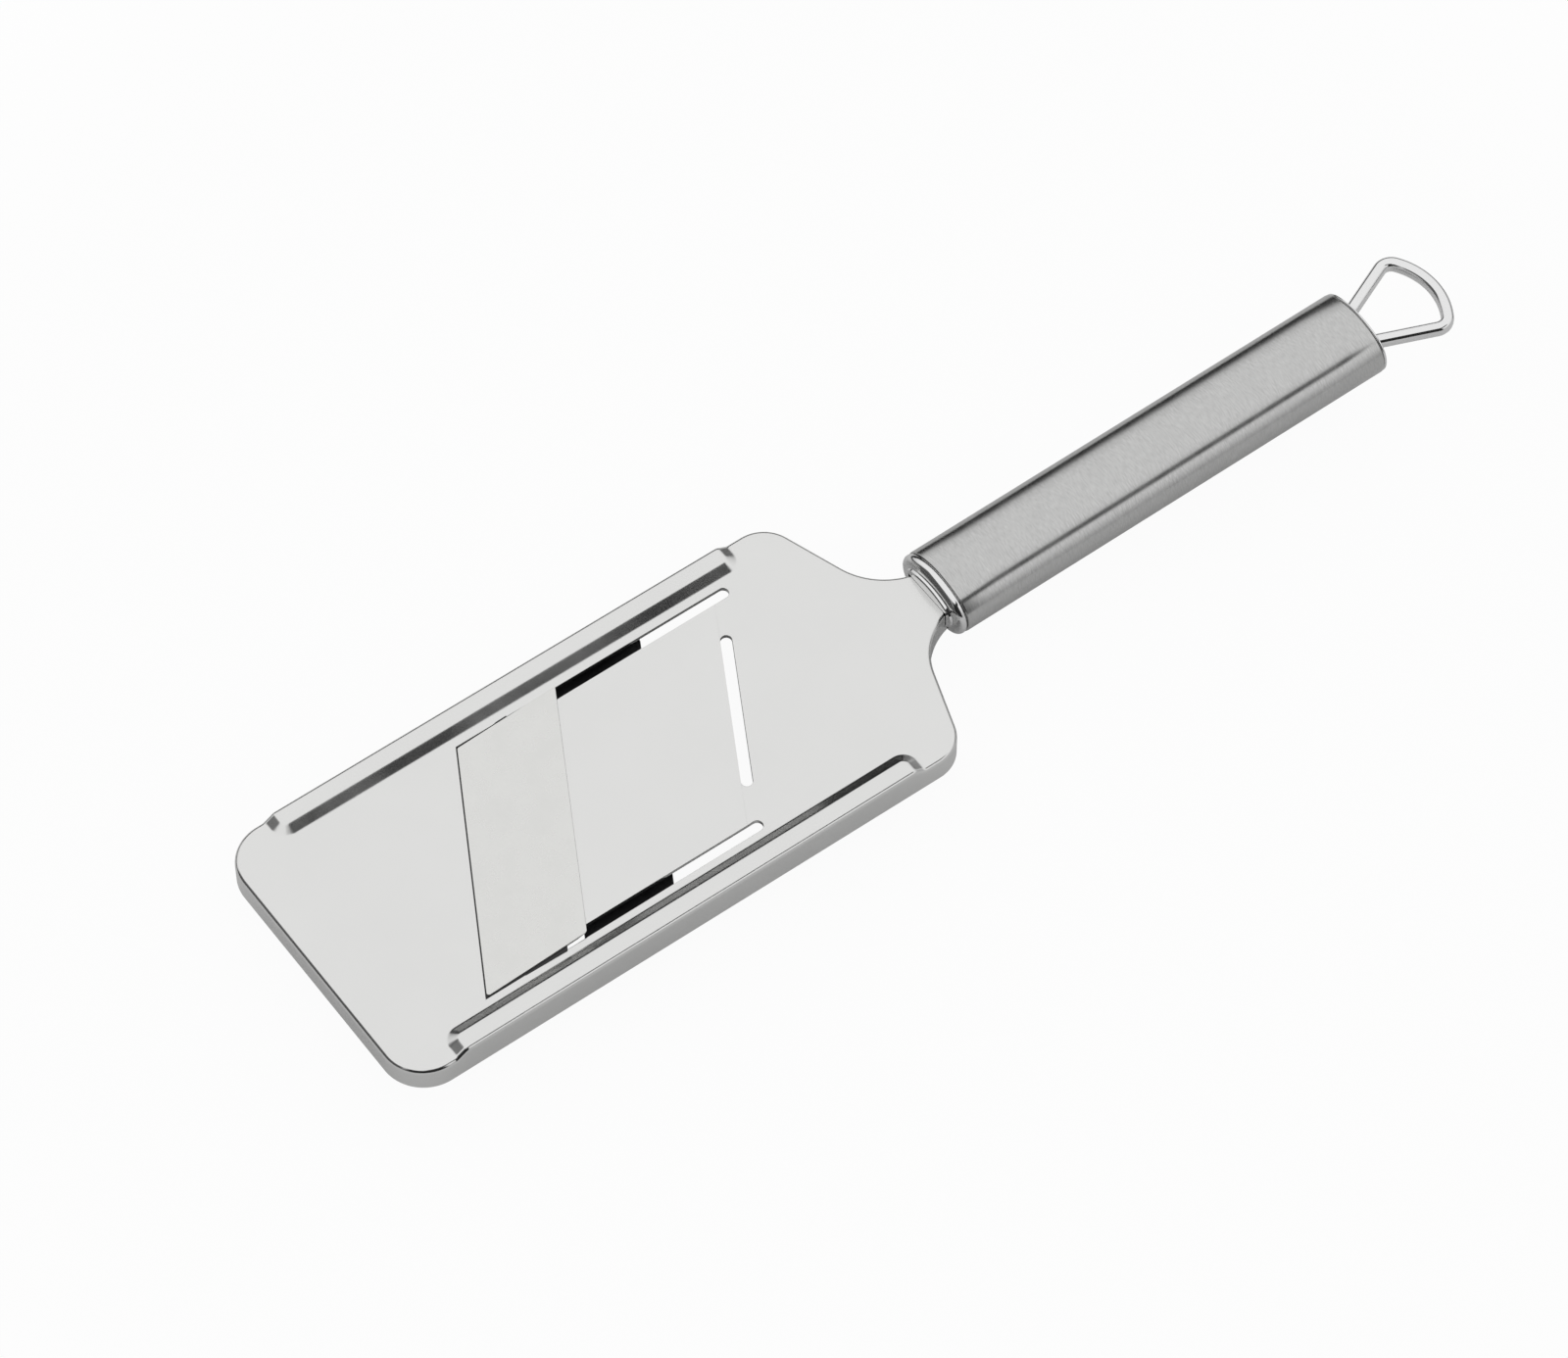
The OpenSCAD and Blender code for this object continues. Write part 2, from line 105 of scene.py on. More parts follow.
class PlateSizes(bpy.types.PropertyGroup):
    """Sizes of the pressed plate and its rails"""

    tip: size("Tip", "Where the tip edge stands", span("slicer_plate", 0)[0], -1.0)
    tang_end: size("Tang end", "Where the tang ends inside the handle", span("slicer_plate", 0)[1])
    half_width: size("Half width", "Half the width over the folded edges", span("slicer_plate", 1)[1])
    flange: size("Flange", "Depth of the folded edge below the slicing face", -span("slicer_plate", 2)[0])
    rail_height: size("Rail height", "Height of the rails", span("slicer_plate", 2)[1])
    sheet: size("Sheet", "Thickness of the sheet", 1.0)
    fold_radius: size("Fold radius", "Outside radius of the folded edge", 1.2)
    tip_corner: size("Tip corner", "Corner radius at the tip", 10.5)
    shoulder_corner: size("Shoulder corner", "Corner radius where a side meets its shoulder", 9.0)
    shoulder_slope: angle("Shoulder slope", "Slope of the shoulders from square", 19.0)
    shoulder_cross: size("Shoulder crossing", "Where the shoulder lines would cross the centre line", 23.2)
    neck_half: size("Neck half width", "Half the width of the neck", 6.2)
    neck_hollow: size("Neck hollow", "Radius of the hollow between shoulder and neck", 17.0)
    rail_foot: size("Rail foot", "Distance of a rail's foot from the centre line", 30.3)
    rail_start: size("Rail start", "Where the tip ends of the rails stand", -127.1, -1.0)
    rail_slope: size("Rail slope", "Width of the slope on a rail's inner side", 3.6)
    rail_corner: size("Rail corner", "Corner radius at the ends of the rails", 4.4)
    punched_edge: size("Punched edge", "Rounding of the punched edges", 0.14)


class WindowSizes(bpy.types.PropertyGroup):
    """Sizes of the cut-outs, the tongue and the blade"""

    skew: angle("Skew", "Skew of the blade and tongue from square", 29.0)
    window_half: size("Window half", "Distance of the slots' outer sides from the centre line", 28.9)
    tongue_half: size("Tongue half", "Half width of the tongue", 26.1)
    slot_end: size("Slot end", "Where the skewed line through the slot ends crosses", -22.4, -1.0)
    relief: size("Relief", "Where the relief slot crosses the centre line", -24.9, -1.0)
    relief_width: size("Relief width", "Width of the relief slot", 2.7)
    relief_span: size("Relief span", "Length of the relief slot, measured across", 36.0)
    blade_back: size("Blade back", "Where the blade's back edge crosses", -96.7, -1.0)
    blade_width: size("Blade width", "Width of the blade, measured along the plate", 26.7)
    blade_half: size("Blade half", "Half length of the blade, measured across", 28.45)
    blade_sheet: size("Blade thickness", "Thickness of the blade", 0.7)
    blade_rise: size("Blade rise", "Height of the cutting edge", 1.3)
    bevel_width: size("Bevel width", "Width of the ground bevel under the edge", 2.5)
    edge_sheet: size("Edge thickness", "Thickness left at the cutting edge", 0.1)
    gap: size("Seat gap", "Gap behind the blade", 0.3)
    lip_width: size("Lip width", "Width of the lip that carries the blade", 4.4)


class AdjusterSizes(bpy.types.PropertyGroup):
    """Sizes of the bridge, the screw and the knob"""

    centre: size("Centre", "Where the adjuster stands", -58.5, -1.0)
    bridge_width: size("Bridge width", "Width of the strip, measured along the plate", 24.0)
    bridge_sheet: size("Bridge thickness", "Thickness of the strip", 1.2)
    bend: size("Bend", "Inside bend radius of the strip", 0.8)
    pitch: size("Pitch", "Pitch of the adjuster's thread", 0.8)
    thread_depth: size("Thread depth", "Depth of the thread", 0.42)
    nut_flats: size("Nut flats", "Width across the flats of the nut", 9.0)
    grooves: IntProperty(name="Grooves", description="Finger grooves round the knob", default=12, min=6, max=24)
    groove_depth: size("Groove depth", "Depth of the finger grooves", 1.0)
    fillet: size("Fillet", "Rounding of the knob's edges", 1.1)


class HandleSizes(bpy.types.PropertyGroup):
    """Sizes of the tube, the ferrule, the cap and the loop"""

    front: size("Front", "Where the tube's front end stands", 31.5)
    drop: size("Drop", "Depth of the tube's centre at its front end", 1.75)
    tilt: angle("Tilt", "Rise of the handle towards its rear", 1.2)
    length: size("Length", "Length of the tube", 120.2)
    width: size("Width", "Width of the tube", 22.9)
    height: size("Height", "Height of the tube", 15.6)
    side_radius: size("Side radius", "Radius of the tube's narrow sides", 6.8)
    wall: size("Wall", "Wall of the tube", 0.9)
    ferrule: size("Ferrule", "Length of the ferrule in front of the tube", 3.2)
    dome: size("Dome", "Height of the cap behind the tube", 2.4)
    wire_width: size("Wire width", "Width of the loop wire", 3.0)
    wire_height: size("Wire height", "Height of the loop wire", 3.3)
    wire_corner: size("Wire corner", "Corner radius of the loop wire", 1.2)
    loop_length: size("Loop length", "Length of the loop behind the tube", 24.6)
    leg_foot: size("Leg foot", "Where a leg's centre crosses the cap's face, behind the tube", 2.4)
    leg_half: size("Leg half span", "Distance of a leg from the centre line at the cap", 4.8)
    leg_root: size("Leg root", "Length of a leg inside the cap", 4.0)
    leg_splay: angle("Leg splay", "Splay of each leg", 23.0)
    corner: size("Loop corner", "Bend radius at the loop's corners", 3.2)
    end_bar: size("End bar", "Bend radius of the loop's end bar", 17.0)


class Finishes(bpy.types.PropertyGroup):
    """Colours of the finishes"""

    plate: colour("Plate", "Satin stainless of the plate", (0.72, 0.72, 0.712))
    blade: colour("Blade", "Matt ground stainless of the blade", (0.70, 0.70, 0.685))
    # Near-black colour given to the bridge strip; the same colour paints the shade in the gap behind the blade.
    bridge: colour("Bridge", "Black oxide of the bridge", (0.012, 0.012, 0.013))
    fastener: colour("Fastener", "Plain stainless of nut, washer and screw", (0.62, 0.62, 0.61))
    brass: colour("Brass", "Turned brass of the insert", (0.78, 0.58, 0.27))
    nylon: colour("Nylon", "Natural nylon of the pad", (0.80, 0.78, 0.71))
    knob: colour("Knob", "Black plastic of the knob", (0.022, 0.022, 0.024))
    handle: colour("Handle", "Brushed stainless of the handle", (0.52, 0.52, 0.515))
    polished: colour("Polished", "Polished stainless of ferrule, cap and loop", (0.80, 0.80, 0.80))


class StudioSettings(bpy.types.PropertyGroup):
    """Camera and surroundings"""

    azimuth: angle("Azimuth", "Direction that the camera looks from, round the object", -36.2)
    elevation: angle("Elevation", "Height of the camera above the horizon", 56.11)
    distance: FloatProperty(name="Distance", description="Camera distance", default=1.5384, unit="LENGTH")
    lens: FloatProperty(name="Lens", description="Focal length on a 36 mm sensor", default=157.8)
    aim: FloatVectorProperty(
        name="Aim", description="Point at the middle of the view", default=(-0.0114, 0.0005, 0.0), unit="LENGTH"
    )
    floor_half: size("Floor", "Half the side of the floor", 420.0)


# ---------------------------------------------------------------- modelling by hand


def clear_selection():
    """Leaves edit mode and deselects every object."""
    if bpy.context.object and bpy.context.object.mode != "OBJECT":
        bpy.ops.object.mode_set(mode="OBJECT")
    bpy.ops.object.select_all(action="DESELECT")


def extrude_ring(piece, ring, points):
    """Extrudes the selected edge ring and puts the new vertices at points."""
    bpy.ops.mesh.extrude_edges_indiv()
    mesh = bmesh.from_edit_mesh(piece.data)
    mesh.verts.ensure_lookup_table()
    mesh.verts.index_update()
    grown = []
    for index, point in zip(ring, points):
        old = mesh.verts[index]
        new = next(e.other_vert(old) for e in old.link_edges if e.other_vert(old).select)
        new.co = point
        grown.append(new.index)
    bmesh.update_edit_mesh(piece.data)
    return grown


def loft(name, rings, start_cap=True, end_cap=True, closed=False):
    """Starts from a circle and extrudes it ring by ring into a closed piece."""
    clear_selection()
    filled = start_cap and not closed
    bpy.ops.mesh.primitive_circle_add(vertices=len(rings[0]), fill_type="NGON" if filled else "NOTHING")
    piece = bpy.context.object
    piece.name = name
    piece.data.name = name
    for vertex, point in zip(piece.data.vertices, rings[0]):
        vertex.co = point
    bpy.ops.object.mode_set(mode="EDIT")
    bpy.ops.mesh.select_mode(type="EDGE")
    bpy.ops.mesh.select_all(action="SELECT")
    ring = list(range(len(rings[0])))
    for points in rings[1:]:
        ring = extrude_ring(piece, ring, points)
    if closed:
        ring = extrude_ring(piece, ring, rings[0])
    elif end_cap:
        bpy.ops.mesh.edge_face_add()
    bpy.ops.mesh.select_all(action="SELECT")
    if closed:
        bpy.ops.mesh.remove_doubles(threshold=1e-7)
    bpy.ops.mesh.normals_make_consistent(inside=False)
    bpy.ops.object.mode_set(mode="OBJECT")
    return piece


def apply_modifier(piece, kind, **settings):
    """Adds a modifier, sets it and applies it."""
    modifier = piece.modifiers.new(kind.title(), kind)
    for key, value in settings.items():
        setattr(modifier, key, value)
    clear_selection()
    piece.select_set(True)
    bpy.context.view_layer.objects.active = piece
    bpy.ops.object.modifier_apply(modifier=modifier.name)


def carve(piece, cutter):
    """Cuts one piece with another, which is then removed."""
    apply_modifier(piece, "BOOLEAN", operation="DIFFERENCE", solver="EXACT", object=cutter)
    bpy.data.objects.remove(cutter, do_unlink=True)


def bisect(piece, place, normal, keep_below=False):
    """Cuts every face of a piece along a plane, and may drop and close what lies beyond it."""
    clear_selection()
    piece.select_set(True)
    bpy.context.view_layer.objects.active = piece
    bpy.ops.object.mode_set(mode="EDIT")
    bpy.ops.mesh.select_all(action="SELECT")
    bpy.ops.mesh.bisect(plane_co=place, plane_no=normal, use_fill=keep_below, clear_outer=keep_below)
    bpy.ops.object.mode_set(mode="OBJECT")


def finish_piece(piece, body, material, nodes=(), smooth=35.0, flat=False):
    """Smooths a piece, hangs it on its body, gives it its finish and hides the construction nodes that it stands for.
    """
    clear_selection()
    piece.select_set(True)
    bpy.context.view_layer.objects.active = piece
    bpy.ops.object.shade_smooth_by_angle(angle=math.radians(smooth))
    if flat:
        apply_modifier(piece, "WEIGHTED_NORMAL", keep_sharp=True, weight=100)
    piece.data.materials.clear()
    piece.data.materials.append(material)
    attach(piece, body)
    if nodes:
        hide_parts(*nodes)
    return piece


# ---------------------------------------------------------------- outlines


def rounded(corners, steps=10):
    """Rounds a polygon whose corners are (x, y, radius), anticlockwise, and returns its points."""
    points = []
    count = len(corners)
    for i, (x, y, radius) in enumerate(corners):
        here = Vector((x, y))
        before = (Vector(corners[i - 1][:2]) - here).normalized()
        after = (Vector(corners[(i + 1) % count][:2]) - here).normalized()
        if radius <= 0:
            points.append(here)
            continue
        half = before.angle(after) / 2
        reach = radius / math.tan(half)
        centre = here + (before + after).normalized() * (radius / math.sin(half))
        start = here + before * reach - centre
        turn = math.pi - 2 * half
        if before.cross(after) > 0:
            turn = -turn
        for k in range(steps + 1):
            points.append(centre + Matrix.Rotation(turn * k / steps, 2) @ start)
    return points


def grown(points, distance, fixed=()):
    """Moves an anticlockwise outline outwards by distance, apart from the points whose numbers are fixed."""
    moved = []
    count = len(points)
    for i, point in enumerate(points):
        if i in fixed:
            moved.append(point.copy())
            continue
        a = (point - points[i - 1]).normalized()
        b = (points[(i + 1) % count] - point).normalized()
        normal = Vector((a.y + b.y, -a.x - b.x)).normalized()
        moved.append(point + normal * (distance / max(0.3, normal.dot(Vector((a.y, -a.x))))))
    return moved


def level(points, z):
    """Lifts flat points to a height."""
    return [Vector((p.x, p.y, z)) for p in points]


def circle(centre, radius, z, count=64):
    """A level ring of points."""
    turns = [2 * math.pi * k / count for k in range(count)]
    return [Vector((centre + radius * math.cos(t), radius * math.sin(t), z)) for t in turns]


def turned(name, centre, profile, closed=False, count=64):
    """A turned piece from its profile of (radius, height) pairs."""
    return loft(name, [circle(centre, r, z, count) for r, z in profile], closed=closed)


def ramp(value, soft=0.2):
    """Runs from 0 to 1 as a straight slope with short rounded ends."""
    value = min(1.0, max(0.0, value))
    if value < soft:
        return value * value / (2 * soft * (1 - soft))
    if value > 1 - soft:
        return 1 - (1 - value) ** 2 / (2 * soft * (1 - soft))
    return (value - soft / 2) / (1 - soft)


def smoothstep(value):
    """Runs from 0 to 1 with level ends."""
    value = min(1.0, max(0.0, value))
    return value * value * (3 - 2 * value)


# ---------------------------------------------------------------- shader building


def socket_name(text):
    """Turns a keyword into a socket's name."""
    return text.replace("_", " ")


def place(tree, kind, settings=None, **inputs):
    """Adds a shader node, sets it and feeds its inputs with values or other nodes' outputs."""
    node = tree.nodes.new(kind)
    for key, value in (settings or {}).items():
        setattr(node, key, value)
    for key, value in inputs.items():
        target = node.inputs[socket_name(key)]
        if isinstance(value, bpy.types.NodeSocket):
            tree.links.new(value, target)
        else:
            target.default_value = value
    return node


def calc(tree, operation, *values):
    """Adds a Math node and returns its result."""
    node = tree.nodes.new("ShaderNodeMath")
    node.operation = operation
    for target, value in zip(node.inputs, values):
        if isinstance(value, bpy.types.NodeSocket):
            tree.links.new(value, target)
        else:
            target.default_value = value
    return node.outputs[0]


def remap(tree, value, from_low, from_high, to_low, to_high, smooth=True):
    """Adds a clamped Map Range node and returns its result."""
    kind = "SMOOTHSTEP" if smooth else "LINEAR"
    node = place(tree, "ShaderNodeMapRange", {"interpolation_type": kind}, Value=value)
    limits = {"From Min": from_low, "From Max": from_high, "To Min": to_low, "To Max": to_high}
    for key, number in limits.items():
        if isinstance(number, bpy.types.NodeSocket):
            tree.links.new(number, node.inputs[key])
        else:
            node.inputs[key].default_value = number
    return node.outputs["Result"]


def new_group(name, inputs, outputs):
    """Makes a node group with named float inputs and outputs; returns it with its ends."""
    group = bpy.data.node_groups.new(name, "ShaderNodeTree")
    for label, kind, default in inputs:
        made = group.interface.new_socket(name=label, in_out="INPUT", socket_type=kind)
        if default is not None:
            made.default_value = default
    for label, kind in outputs:
        group.interface.new_socket(name=label, in_out="OUTPUT", socket_type=kind)
    return group, group.nodes.new("NodeGroupInput"), group.nodes.new("NodeGroupOutput")


def grain_group():
    """Fine brushing: noise stretched along one direction, with slow changes in its strength."""
    group, start, end = new_group(
        "Brushed grain",
        [
            ("Stretch", "NodeSocketVector", (1.0, 1.0, 1.0)),
            ("Fineness", "NodeSocketFloat", 2500.0),
            ("Patch Size", "NodeSocketFloat", 60.0),
        ],
        [("Height", "NodeSocketFloat"), ("Patches", "NodeSocketFloat")],
    )
    where = place(group, "ShaderNodeTexCoord").outputs["Object"]
    stretched = place(
        group, "ShaderNodeVectorMath", {"operation": "MULTIPLY"}
    )
    group.links.new(where, stretched.inputs[0])
    group.links.new(start.outputs["Stretch"], stretched.inputs[1])
    lines = place(
        group, "ShaderNodeTexNoise", Vector=stretched.outputs[0], Scale=start.outputs["Fineness"],
        Detail=3.0, Roughness=0.6,
    )
    patches = place(
        group, "ShaderNodeTexNoise", Vector=where, Scale=start.outputs["Patch Size"], Detail=4.0, Roughness=0.55
    )
    group.links.new(lines.outputs["Fac"], end.inputs["Height"])
    group.links.new(patches.outputs["Fac"], end.inputs["Patches"])
    return group


def marks_group():
    """Handling marks: thin scratches in a few directions and faint smudges."""
    group, start, end = new_group(
        "Handling marks",
        [("Scale", "NodeSocketFloat", 55.0), ("Amount", "NodeSocketFloat", 0.5)],
        [("Scratches", "NodeSocketFloat"), ("Smudges", "NodeSocketFloat")],
    )
    where = place(group, "ShaderNodeTexCoord").outputs["Object"]
    total = None
    for turn, thin in ((0.5, 0.012), (2.1, 0.009), (1.2, 0.007)):
        aimed = place(group, "ShaderNodeMapping", Vector=where, Rotation=(0.0, 0.0, turn), Scale=(1.0, 0.12, 1.0))
        cells = place(
            group, "ShaderNodeTexVoronoi", {"feature": "DISTANCE_TO_EDGE"},
            Vector=aimed.outputs[0], Scale=start.outputs["Scale"],
        )
        line = remap(group, cells.outputs["Distance"], 0.0, thin, 1.0, 0.0)
        broken = place(group, "ShaderNodeTexNoise", Vector=where, Scale=70.0 + 40.0 * turn, Detail=2.0)
        line = calc(group, "MULTIPLY", line, remap(group, broken.outputs["Fac"], 0.56, 0.68, 0.0, 1.0))
        total = line if total is None else calc(group, "MAXIMUM", total, line)
    smudge = place(group, "ShaderNodeTexNoise", Vector=where, Scale=28.0, Detail=5.0, Roughness=0.65)
    scratches = calc(group, "MULTIPLY", total, start.outputs["Amount"])
    smudges = calc(group, "MULTIPLY", remap(group, smudge.outputs["Fac"], 0.45, 0.72, 0.0, 1.0), start.outputs["Amount"])
    group.links.new(scratches, end.inputs["Scratches"])
    group.links.new(smudges, end.inputs["Smudges"])
    return group


def shared(name, maker):
    """Returns a node group, making it the first time."""
    return bpy.data.node_groups.get(name) or maker()


def use_group(tree, group, **inputs):
    """Places a node group in a material."""
    return place(tree, "ShaderNodeGroup", {"node_tree": group}, **inputs)


def new_material(name):
    """Makes an empty material with its output and its Principled shader."""
    material = bpy.data.materials.new(name)
    material.use_nodes = True
    tree = material.node_tree
    tree.nodes.clear()
    shader = tree.nodes.new("ShaderNodeBsdfPrincipled")
    output = tree.nodes.new("ShaderNodeOutputMaterial")
    tree.links.new(shader.outputs["BSDF"], output.inputs["Surface"])
    return material, tree, shader


def tinted(tree, factor, base, low, high):
    """Mixes two shades of one colour by a factor."""
    mix = place(tree, "ShaderNodeMix", {"data_type": "RGBA"}, Factor=factor)
    dark = [min(1.0, c * low) for c in base] + [1.0]
    light = [min(1.0, c * high) for c in base] + [1.0]
    mix.inputs[6].default_value = dark
    mix.inputs[7].default_value = light
    return mix.outputs[2]


def metal(name, base, stretch, fineness, patch, roughness, spread, bump, marks=0.4, shade=0.04, fine=0.35):
    """A steel or brass finish: brushing, slow patches of shade and roughness, and handling marks."""
    material = bpy.data.materials.get(name)
    if material:
        return material
    material, tree, shader = new_material(name)
    shader.inputs["Metallic"].default_value = 1.0
    grain = use_group(
        tree, shared("Brushed grain", grain_group), Stretch=stretch, Fineness=fineness, Patch_Size=patch
    )
    worn = use_group(tree, shared("Handling marks", marks_group), Amount=marks)
    mixed = calc(
        tree, "MULTIPLY_ADD", grain.outputs["Height"], fine, calc(tree, "MULTIPLY", grain.outputs["Patches"], 1 - fine)
    )
    toned = calc(tree, "SUBTRACT", mixed, calc(tree, "MULTIPLY", worn.outputs["Scratches"], 0.25))
    factor = remap(tree, toned, 0.3, 0.7, 0.0, 1.0, smooth=False)
    tree.links.new(tinted(tree, factor, base, 1 - shade, 1 + shade), shader.inputs["Base Color"])
    rough = remap(tree, grain.outputs["Patches"], 0.3, 0.7, roughness - spread, roughness + spread)
    rough = calc(tree, "MULTIPLY_ADD", worn.outputs["Smudges"], spread, rough)
    tree.links.new(rough, shader.inputs["Roughness"])
    height = calc(tree, "SUBTRACT", grain.outputs["Height"], worn.outputs["Scratches"])
    relief = place(tree, "ShaderNodeBump", Height=height, Strength=1.0, Distance=bump)
    tree.links.new(relief.outputs["Normal"], shader.inputs["Normal"])
    return material


def moulded(name, base, roughness, fineness, bump, shade=0.1):
    """A moulded plastic finish: fine spark texture, faint swirls of shade and wear."""
    material = bpy.data.materials.get(name)
    if material:
        return material
    material, tree, shader = new_material(name)
    shader.inputs["IOR"].default_value = 1.5
    grain = use_group(
        tree, shared("Brushed grain", grain_group), Stretch=(1.0, 1.0, 1.0), Fineness=fineness, Patch_Size=90.0
    )
    worn = use_group(tree, shared("Handling marks", marks_group), Amount=0.5)
    factor = remap(tree, grain.outputs["Patches"], 0.3, 0.7, 0.0, 1.0)
    tree.links.new(tinted(tree, factor, base, 1 - shade, 1 + shade), shader.inputs["Base Color"])
    rough = calc(tree, "MULTIPLY_ADD", worn.outputs["Smudges"], 0.12, roughness)
    tree.links.new(rough, shader.inputs["Roughness"])
    relief = place(tree, "ShaderNodeBump", Height=grain.outputs["Height"], Strength=1.0, Distance=bump)
    tree.links.new(relief.outputs["Normal"], shader.inputs["Normal"])
    return material


def satin_plate_steel():
    """Satin stainless of the plate and the tongue."""
    base = tuple(bpy.context.scene.finishes.plate)
    return metal("satin_plate_steel", base, (0.1, 1.0, 1.0), 2600.0, 45.0, 0.17, 0.03, 0.4e-6, 0.3, 0.015)


def ground_blade_steel():
    """Matt ground stainless of the blade."""
    base = tuple(bpy.context.scene.finishes.blade)
    return metal("ground_blade_steel", base, (1.0, 0.25, 1.0), 3200.0, 160.0, 0.27, 0.04, 0.8e-6, 0.12, 0.03)


def dark_bridge_and_painted_seam_shade():
    """Near-black plastic-like shader for the bridge strip; also used as painted shade in the seam behind the blade."""
    base = tuple(bpy.context.scene.finishes.bridge)
    # The same near-black shader paints the shade in the gap behind and beside the blade.
    return moulded("dark_bridge_and_painted_seam_shade", base, 0.42, 4000.0, 6e-6, 0.25)


def plain_fastener_steel():
    """Plain stainless of the nut, the washer and the screw."""
    base = tuple(bpy.context.scene.finishes.fastener)
    return metal("plain_fastener_steel", base, (1.0, 1.0, 0.3), 3500.0, 200.0, 0.28, 0.05, 1.5e-6, 0.5, 0.06)


def turned_brass():
    """Turned brass of the knob's insert."""
    base = tuple(bpy.context.scene.finishes.brass)
    return metal("turned_brass", base, (0.4, 0.4, 1.0), 3500.0, 200.0, 0.25, 0.05, 1.5e-6, 0.4, 0.05)


def natural_nylon():
    """Natural nylon of the pressure pad."""
    return moulded("natural_nylon", tuple(bpy.context.scene.finishes.nylon), 0.42, 3000.0, 4e-6, 0.04)


def black_knob_plastic():
    """Black moulded plastic of the knob."""
    return moulded("black_knob_plastic", tuple(bpy.context.scene.finishes.knob), 0.38, 3600.0, 9e-6, 0.12)


def brushed_handle_steel():
    """Stainless brushed across the handle."""
    base = tuple(bpy.context.scene.finishes.handle)
    return metal("brushed_handle_steel", base, (1.0, 0.12, 0.12), 5200.0, 160.0, 0.21, 0.015, 2.6e-6, 0.3, 0.13, 0.85)


def polished_steel():
    """Polished stainless of the ferrule, the cap and the loop."""
    base = tuple(bpy.context.scene.finishes.polished)
    return metal("polished_steel", base, (1.0, 1.0, 1.0), 1500.0, 90.0, 0.04, 0.01, 0.1e-6, 0.25, 0.02)


# ---------------------------------------------------------------- plate


def plate_outline(plate):
    """Plan outline of the plate, with its neck and tang, anticlockwise."""
    slope = math.tan(plate.shoulder_slope)
    side = plate.half_width
    neck = plate.neck_half
    corner = plate.shoulder_cross - side * slope
    root = plate.shoulder_cross - neck * slope
    return rounded(
        [
            (plate.tip, -side, plate.tip_corner),
            (corner, -side, plate.shoulder_corner),
            (root, -neck, plate.neck_hollow),
            (plate.tang_end, -neck, 0),
            (plate.tang_end, neck, 0),
            (root, neck, plate.neck_hollow),
            (corner, side, plate.shoulder_corner),
            (plate.tip, side, plate.tip_corner),
        ],
        steps=24,
    )


def rail_rise(plate, x, y):
    """How far a rail lifts the sheet at a place on the plate."""
    across = abs(y) - plate.rail_foot
    along = min(x - plate.rail_start, -x)
    radius = plate.rail_corner
    if across < radius and along < radius:
        depth = radius - math.hypot(radius - across, radius - along)
    else:
        depth = min(across, along)
    return plate.rail_height * ramp(depth / plate.rail_slope)


def slanted(window, station, y):
    """A point on a skewed line that crosses the centre line at station."""
    return Vector((station + y * math.tan(window.skew), y))


def arc(centre, radius, start, stop, steps):
    """Points of an arc, both ends included, angles in degrees."""
    turns = [math.radians(start + (stop - start) * k / steps) for k in range(steps + 1)]
    return [centre + Vector((radius * math.cos(t), radius * math.sin(t))) for t in turns]


def window_outline(window):
    """Outline of the opening for blade, tongue and slots, and the numbers of its two hinge points."""
    slot = (window.window_half - window.tongue_half) / 2
    middle = window.window_half - slot
    lean = 1 / math.cos(window.skew)
    hinge = window.relief - window.relief_width / 2 * lean
    back = window.blade_back - window.gap * lean
    near = arc(slanted(window, window.slot_end - slot * lean, -middle), slot, -90, 90, 16)
    far = arc(slanted(window, window.slot_end - slot * lean, middle), slot, -90, 90, 16)
    points = [slanted(window, back, -window.window_half), *near]
    points.append(slanted(window, hinge, -window.tongue_half))
    points.append(slanted(window, hinge, window.tongue_half))
    points += [*far, slanted(window, back, window.window_half)]
    first = len(near) + 1
    return points, (first, first + 1)


def relief_outline(window):
    """Outline of the relief slot."""
    radius = window.relief_width / 2
    half = (window.relief_span - window.relief_width) / 2 / math.cos(window.skew)
    turn = Matrix.Rotation(-window.skew, 2)
    points = arc(Vector((0, half)), radius, 0, 180, 16) + arc(Vector((0, -half)), radius, 180, 360, 16)
    return [turn @ p + Vector((window.relief, 0)) for p in points]


def punch(name, outline, plate, fixed=()):
    """A cutter that leaves the slicing side of its edges rounded."""
    edge = plate.punched_edge
    rings = [level(outline, -plate.flange), level(outline, -edge)]
    for k in range(1, 4):
        turn = math.radians(30 * k)
        wider = grown(outline, edge * (1 - math.cos(turn)), fixed)
        rings.append(level(wider, -edge + edge * math.sin(turn)))
    rings.append(level(grown(outline, edge * 1.2, fixed), plate.flange / 2))
    return loft(name, rings)


